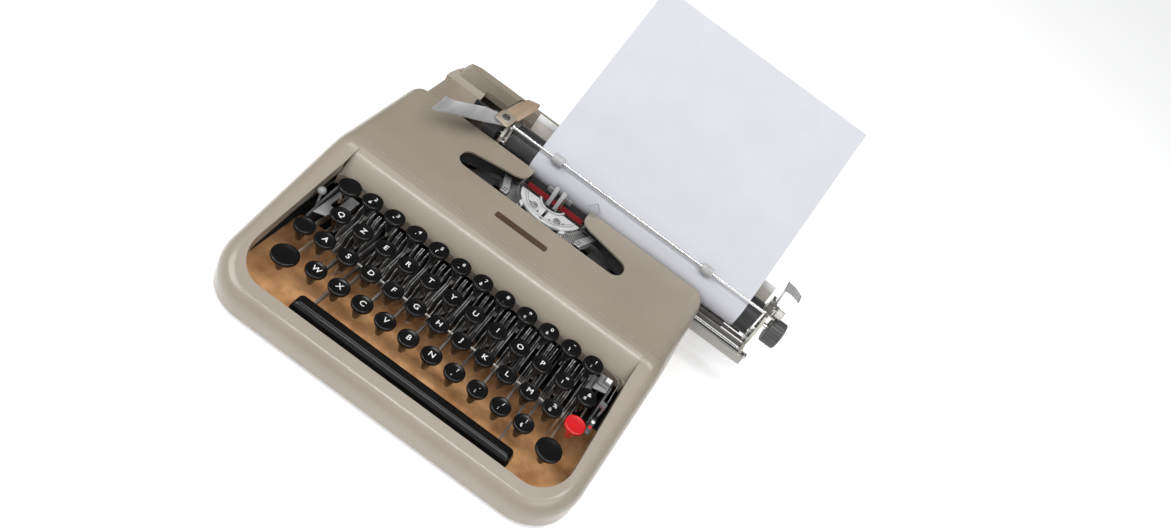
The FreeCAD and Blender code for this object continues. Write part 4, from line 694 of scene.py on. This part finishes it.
def make_trays():
    """The smooth dark trays seen through the ends of the slots, and the bright bits at their tips."""
    shape = bmesh.new()
    for side in (-1, 1):
        outline = [(PRINT_X + side * out, y)
                   for out, y in ((47, 25), (47, 58), (75, 46), (77, 40), (76, 33), (70, 26))]
        sheet(shape, outline, 53.4, 0.9, 0.3)
    finish_piece("slot_trays", shape, "tray_grey", "chassis")
    for side, x in (("left", -69.5), ("right", 74.5)):
        shape = bmesh.new()
        screw(shape, (x, 33.5, 60), 2.2, 1.2, 25)
        turned(shape, [(0, 60.2), (1.2, 60.2), (1.2, 54), (0, 54)], (x, 33.5, 0), "Z", 20)
        block(shape, (x - 3, 37.4, 54), (x - 1.6, 41.5, 59), 0.2)
        block(shape, (x - 0.4, 37, 54), (x + 3.4, 38, 61), 0.2)
        finish_piece("slot_bits_" + side, shape, "bright_steel", "chassis")


def make_spool_cores():
    """The bright nut and folding catch in the middle of each spool."""
    for side, x in (("left", -96), ("right", 100)):
        shape = bmesh.new()
        turned(shape, [(0, 70.1), (1.4, 70.1), (2.2, 69.9), (2.6, 69.3), (4.6, 69.3), (4.8, 69.2)],
               (x, 22, 0), "Z", 28)
        block(shape, (x - 6, 21, 69.2), (x + 6, 23, 69.9), 0.25)
        finish_piece("spool_core_" + side, shape, "bright_steel", side + "_spool")


# ---------------------------------------------------------------- carriage dress
LEVER_PIVOT = (-70, 84)
BLADE_STATIONS = (
    # (front edge, rear edge, height), from the pivot to the tip
    ((-66, 82), (-70, 90), 85.0), ((-74, 75), (-78, 89), 85.0),
    ((-81, 67), (-88, 84.5), 85.3), ((-89, 59.5), (-97, 75), 85.8),
    ((-97, 52.5), (-104.5, 67), 86.6), ((-104.5, 44), (-109.5, 61.5), 87.6),
    ((-109.5, 36), (-112.5, 58.5), 89.2), ((-112, 31.5), (-113.5, 57), 91.6),
)
WHEEL_AXLE = (91.5, 88.4)


def blade_station(along):
    """The two edges of the line lever's blade and its height, a share of the way to the tip."""
    place = along * (len(BLADE_STATIONS) - 1)
    index = min(int(place), len(BLADE_STATIONS) - 2)
    share = place - index
    low = [Vector((*edge, 0)) for edge in BLADE_STATIONS[index][:2]]
    high = [Vector((*edge, 0)) for edge in BLADE_STATIONS[index + 1][:2]]
    start = BLADE_STATIONS[index][2]
    height = start + (BLADE_STATIONS[index + 1][2] - start) * share
    return low[0].lerp(high[0], share), low[1].lerp(high[1], share), height


def make_line_lever():
    """A broad blade, dished along its length, with its tip curled up."""
    shape = bmesh.new()
    made = bmesh.ops.create_grid(shape, x_segments=28, y_segments=8, size=0.5)
    for vert in made["verts"]:
        along = vert.co.x + 0.5
        across = vert.co.y + 0.5
        near, far, height = blade_station(along)
        spot = near.lerp(far, across)
        dish = 1.4 * (2 * across - 1) ** 2 * min(1, along * 3)
        vert.co = Vector((spot.x, spot.y, height + dish)) * MM
    thicken(shape, 1.3)
    blade = finish_piece("line_lever_blade", shape, "lever_nickel", "line_lever", crease=55)
    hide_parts("return_lever")
    shape = bmesh.new()
    turned(shape, [(1.75, 86.4), (4.6, 86.4), (5, 86), (5, 84.7), (1.75, 84.7), (1.75, 86.4)],
           (*LEVER_PIVOT, 0), "Z", 32)
    hub = finish_piece("line_lever_hub", shape, "bright_steel", "line_lever")
    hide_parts("return_lever")


def make_left_bracket():
    """The bronze strap behind the lever's pivot, the pale plate over it and its big slotted screw."""
    shape = bmesh.new()
    outline = [(-75.5, 90), (-61.5, 90), (-58.4, 118), (-59, 127.6), (-61, 129), (-70, 125), (-73.4, 112)]
    sheet(shape, outline, 88.6, 0.7, 0.3)
    finish_piece("bracket_strap", shape, "bronze", "carriage")
    shape = bmesh.new()
    outline = [(-77.4, 82), (-76.4, 78.6), (-65, 74.2), (-63, 75), (-62.7, 90), (-64.4, 93),
               (-74, 94.4), (-76.8, 91)]
    sheet(shape, outline, 88.7, 0.9, 0.4, 3)
    finish_piece("bracket_plate", shape, "lever_pale", "carriage")
    shape = bmesh.new()
    turned(shape, [(3.7, 89.6), (3.7, 90.1), (4.6, 90.0), (4.8, 89.6), (3.7, 89.6)],
           (*LEVER_PIVOT, 0), "Z", 32)
    finish_piece("bracket_screw_rim", shape, "comb_steel", "carriage")
    shape = bmesh.new()
    screw(shape, (*LEVER_PIVOT, 89.6), 3.5, 1.4, 20)
    finish_piece("bracket_screw", shape, "screw_dark", "carriage")


def make_rail_dress():
    """Dark strips along the front rail, a painted shadow line on the groove's top face and a dark sheet
    under it as painted shade, with a thin bright rod lying in it.
    """
    shape = bmesh.new()
    # painted shadow: a thin dark strip on the groove's top face
    block(shape, (-66, 65.0, 52.3), (199, 69.3, 52.6), 0.05)
    # painted shade: a dark sheet under the groove that hides the floor seen through it
    block(shape, (-66, 69.6, 48.4), (199, 73.9, 49.2), 0.1)
    finish_piece("rail_groove", shape, "frame_steel", "carriage")
    wire_piece("rail_rod", [(-64, 67.3, 53.0), (197, 67.3, 53.0)], 0.5, "bright_steel",
               "carriage")
    shape = bmesh.new()
    block(shape, (198.6, 62.8, 51.2), (201.6, 69, 53.8), 0.8, 3)
    finish_piece("rail_end_tab", shape, "bright_steel", "carriage")


def ribbed_wheel(shape, centre, radius, x0, x1, ribs):
    """A small wheel on an axle along X, its rim cut with ribs."""
    outline = []
    for i in range(2 * ribs):
        angle = math.pi * i / ribs
        reach = radius if i % 2 else radius * 0.88
        y = centre[0] + reach * math.cos(angle)
        z = centre[1] + reach * math.sin(angle)
        outline.append(Vector((x0, y, z)) * MM)
    plate(shape, outline, Vector(((x1 - x0) * MM, 0, 0)), 0.12, 1)


def make_release_lever():
    """The paper release: a flat arm and a curled finger tab with three ridges."""
    shape = bmesh.new()
    outline = [(109, 84), (108.4, 77.2), (114.8, 77.2), (120, 88), (134.6, 90.4), (134.6, 91.6), (121, 91.6)]
    rib(shape, outline, 197.7, 1.3, 0.2)
    arm = finish_piece("release_arm", shape, "tongue_steel", "release_lever")
    shape = bmesh.new()
    made = bmesh.ops.create_grid(shape, x_segments=30, y_segments=4, size=0.5)
    for vert in made["verts"]:
        out = vert.co.x + 0.5
        back = vert.co.y + 0.5
        wave = 1.2 * math.sin(out * math.pi * 0.9) - 1.8 * out ** 2 + 0.3 * math.sin(out * 34)
        narrow = 1 - 0.25 * out
        vert.co = Vector((197.8 + 15.6 * out, 127 - 3 * out + 13 * (back - 0.5) * narrow, 91.6 + wave)) * MM
    thicken(shape, 1.1)
    tab = finish_piece("release_tab", shape, "lever_nickel", "release_lever", crease=50)
    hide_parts("paper_release_lever")
    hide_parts("paper_release_lever")


def make_right_end():
    """The small ribbed wheel, the pull spring and the screws at the right end of the carriage."""
    shape = bmesh.new()
    ribbed_wheel(shape, WHEEL_AXLE, 4, 199.4, 206, 16)
    turned(shape, [(0, 206.6), (1.2, 206.6), (1.2, 196.6), (0, 196.6)], (0, *WHEEL_AXLE), "X", 16)
    finish_piece("end_wheel", shape, "comb_steel", "carriage")
    shape = bmesh.new()
    block(shape, (197.2, 89.3, 83.8), (198.8, 93.7, 90.4), 0.5, 3)
    for y in (96.8, 102.6):
        screw(shape, (198.2, y, 84), 1.7, 0.8, 65)
    finish_piece("end_wheel_bearing", shape, "bright_steel", "carriage")
    turns = []
    for step in range(73):
        angle = math.tau * step / 9
        along = step / 72
        turns.append((190.9 + 1.1 * math.cos(angle), 74.9 + 2.6 * along + 1.0 * math.sin(angle),
                      58 + 8 * along - 0.4 * math.sin(angle)))
    wire_piece("end_spring", turns, 0.28, "bright_steel", "carriage")
    shape = bmesh.new()
    for y, z, radius in ((76.4, 60, 1.7), (112, 70, 2.4)):
        turned(shape, [(0, 1.0), (radius * 0.8, 1.0), (radius, 0.7), (radius, 0)],
               (193.8, y, z), "X", 24)
    finish_piece("end_plate_studs", shape, "bright_steel", "carriage")


def make_table_lip():
    """The bent lip along the top of the paper table, painted white as a painted reflection of the light on
    its bright edge.
    """
    lean = math.radians(22)
    along = Vector((0, math.sin(lean), math.cos(lean)))
    across = Vector((0, math.cos(lean), -math.sin(lean)))
    foot = Vector((0, 110.4, 63))
    corners = [foot + along * up + across * out
               for up, out in ((20.6, -0.15), (26.7, -0.15), (26.7, 1.1), (20.6, 1.1))]
    for side, x0, x1 in (("left", -54.2, -34), ("right", 178, 191.3)):
        shape = bmesh.new()
        outline = [(corner + Vector((x0, 0, 0))) * MM for corner in corners]
        plate(shape, outline, Vector(((x1 - x0) * MM, 0, 0)), 0.2)
        # painted reflection: the lip's white stands in for the light on its polished edge
        finish_piece("table_lip_painted_glint_" + side, shape, "white_enamel", "carriage")


# ---------------------------------------------------------------- well details
def lever_places():
    """The places across the machine where a key lever runs through the comb."""
    places = [x for name, (count, legends) in ROWS.items() for x, y, top in row_centres(name, count)]
    return sorted(places + [*SPACE_LEVERS, RIGHT_SHIFT_LEVER])


def make_blades():
    """The thin fixed blades that guide the key levers behind the comb."""
    outline = [(-84, 24.5), (-84, 26.5), (-74.5, 27.5), (-72.5, 34.5), (-64, 36.5), (-54.5, 37.5),
               (-52.5, 43), (-46, 44.5), (-46, 6.6), (-55.6, 6.6), (-55.6, 8.7), (-62, 8.7)]
    places = lever_places()
    shape = bmesh.new()
    for left, right in zip(places, places[1:]):
        gap = right - left
        if gap < 3.4:
            continue
        shares = (0.5,) if gap < 5 else (0.35, 0.65)
        for share in shares:
            edge = left + gap * share - 0.35
            rib(shape, outline, edge, 0.7)
    finish_piece("comb_blades", shape, "blade_steel", "chassis")


def make_well_details():
    """The wire along the rear of the keyboard well and the small plates at its corners."""
    wire_piece("well_wire", [(-112, -45.2, 55.2), (119, -45.2, 55.2), (123.5, -46.5, 55), (125.6, -50, 54.6),
                             (126.4, -66, 50)], 0.42, "screw_dark", "chassis")
    shape = bmesh.new()
    outline = [(-121.4, -80), (-112.4, -76), (-112.4, -66), (-117.4, -65), (-117.4, -46), (-121.4, -46)]
    sheet(shape, outline, 42.2, 1.1, 0.3)
    block(shape, (-112.6, -66.4, 42.2), (-104.8, -46, 43.3), 0.3)
    finish_piece("left_cover_plate", shape, "plate_grey", "chassis")
    shape = bmesh.new()
    outline = [(111.2, -64), (121.4, -61), (121.4, -46.6), (111.2, -46.6)]
    sheet(shape, outline, 50.2, 1.1, 0.3)
    block(shape, (107, -64, 44.4), (111.6, -46.6, 45.5), 0.3)
    block(shape, (108, -61, 45.3), (110.4, -48, 46.1), 0.35)
    finish_piece("right_cover_plate", shape, "plate_grey", "chassis")
    shape = bmesh.new()
    block(shape, (116.4, -51.6, 51.3), (121, -47.2, 52.2), 0.3)
    finish_piece("right_white_square", shape, "white_enamel", "chassis")
    shape = bmesh.new()
    for low, high in (((111.6, -58, 51.2), (120.6, -57.2, 51.6)), ((111.6, -58, 51.2), (112.3, -48, 51.6)),
                      ((115.2, -54, 51.2), (115.8, -47, 51.6)), ((115.2, -54, 51.2), (121, -53.3, 51.6))):
        block(shape, low, high)
    finish_piece("right_plate_lines", shape, "screw_dark", "chassis")
    wire_piece("cover_seam", [(-138, -18.58, 70.75), (138, -18.58, 70.75)], 0.28, "knob_plastic",
               "chassis")
    make_selector_plate()


def make_selector_plate():
    """The black strip beside the colour selector with a white and a red spot."""
    shape = bmesh.new()
    outline = [(123.8, -97), (126.9, -97), (126.9, -81.4), (123.8, -81.4)]
    sheet(shape, outline, 44.4, 0.9, 0.25)
    block(shape, (123.2, -84, 41), (126.9, -81.6, 44.6), 0.2)
    finish_piece("selector_plate", shape, "knob_plastic", "chassis")
    for name, y, finish in (("white", -85, "white_enamel"), ("red", -90.6, "tab_red")):
        shape = bmesh.new()
        turned(shape, [(0, 45.7), (1.1, 45.7), (1.4, 45.5), (1.4, 45.2)], (125.35, y, 0), "Z", 24)
        finish_piece("selector_spot_" + name, shape, finish, "chassis")


# ---------------------------------------------------------------- main list
make_rows()
make_single_keys()
make_space_bar()
make_segment()
make_tongue()
make_guide_posts()
make_brackets()
make_trays()
make_spool_cores()
make_line_lever()
make_left_bracket()
make_rail_dress()
make_release_lever()
make_right_end()
make_table_lip()
make_blades()
make_well_details()


# ---------------------------------------------------------------- stage
def make_stage():
    """The pale floor and the room around it."""
    mesh = bpy.data.meshes.new("floor")
    shape = bmesh.new()
    bmesh.ops.create_grid(shape, x_segments=1, y_segments=1, size=6)
    shape.to_mesh(mesh)
    shape.free()
    floor = bpy.data.objects.new("floor", mesh)
    bpy.context.collection.objects.link(floor)
    finish = Finish("floor_white", (0.88, 0.88, 0.88), 0.9)
    finish.shader.inputs["Emission Color"].default_value = (1, 1, 1, 1)
    finish.shader.inputs["Emission Strength"].default_value = 0.42
    mesh.materials.append(finish.material)
    make_sky()


def make_sky():
    """A room that is bright overhead and in front, and dim behind the machine."""
    world = bpy.data.worlds.new("studio")
    bpy.context.scene.world = world
    world.use_nodes = True
    tree = world.node_tree
    sky = tree.nodes["Background"]
    sky.inputs["Strength"].default_value = 0.8
    where = tree.nodes.new("ShaderNodeTexCoord")
    parts = tree.nodes.new("ShaderNodeSeparateXYZ")
    tree.links.new(where.outputs["Generated"], parts.inputs["Vector"])
    spread = tree.nodes.new("ShaderNodeMapRange")
    spread.inputs["From Min"].default_value = -1
    tree.links.new(parts.outputs["Y"], spread.inputs["Value"])
    shade = tree.nodes.new("ShaderNodeValToRGB")
    tree.links.new(spread.outputs["Result"], shade.inputs["Fac"])
    levels = ((0.0, 0.75), (0.5, 0.95), (0.62, 0.55), (0.74, 0.16), (1.0, 0.10))
    fill_ramp(shade.color_ramp, [(place, (level * 0.97, level * 0.98, level)) for place, level in levels])
    tree.links.new(shade.outputs["Color"], sky.inputs["Color"])


def area_light(name, place, aim, power, width, height):
    """A rectangular light at a place, facing its aim."""
    lamp = bpy.data.lights.new(name, "AREA")
    lamp.shape = "RECTANGLE"
    lamp.energy = power
    lamp.size = width
    lamp.size_y = height
    holder = bpy.data.objects.new(name, lamp)
    holder.location = place
    holder.rotation_euler = (Vector(aim) - Vector(place)).to_track_quat("-Z", "Y").to_euler()
    bpy.context.collection.objects.link(holder)


def make_lights():
    """A window, a ceiling panel, a tube over the cover's bend and a soft fill."""
    area_light("window", (-1.2, -0.7, 1.5), (0, 0, 0), 10.5, 0.8, 0.8)
    area_light("ceiling", (0.1, -0.42, 1.35), (0, -0.05, 0), 5.5, 1.3, 0.1)
    area_light("tube", (0.0, 0.38, 1.35), (0, 0, 0), 5, 1.5, 0.14)
    area_light("fill", (0.9, -0.9, 1.4), (0, 0, 0), 4.5, 0.8, 0.8)


def make_camera():
    """The camera stands in front of the keyboard, tipped down and rolled to the left."""
    lens = bpy.data.cameras.new("camera")
    lens.lens = 29.535
    lens.sensor_width = 36
    lens.shift_x = -0.0325
    lens.shift_y = 0.0033
    lens.clip_start = 0.01
    right = Vector((0.8040, 0.3731, 0.4629))
    up = Vector((-0.5946, 0.5046, 0.6260))
    back = Vector((-0.0001, -0.7786, 0.6275))
    turn = Matrix((right, up, back)).transposed()
    holder = bpy.data.objects.new("camera", lens)
    holder.matrix_world = Matrix.Translation((0.0787, -0.5456, 0.5435)) @ turn.to_4x4()
    bpy.context.collection.objects.link(holder)
    bpy.context.scene.camera = holder


make_stage()
make_lights()
make_camera()
bpy.context.scene.view_settings.view_transform = "Standard"
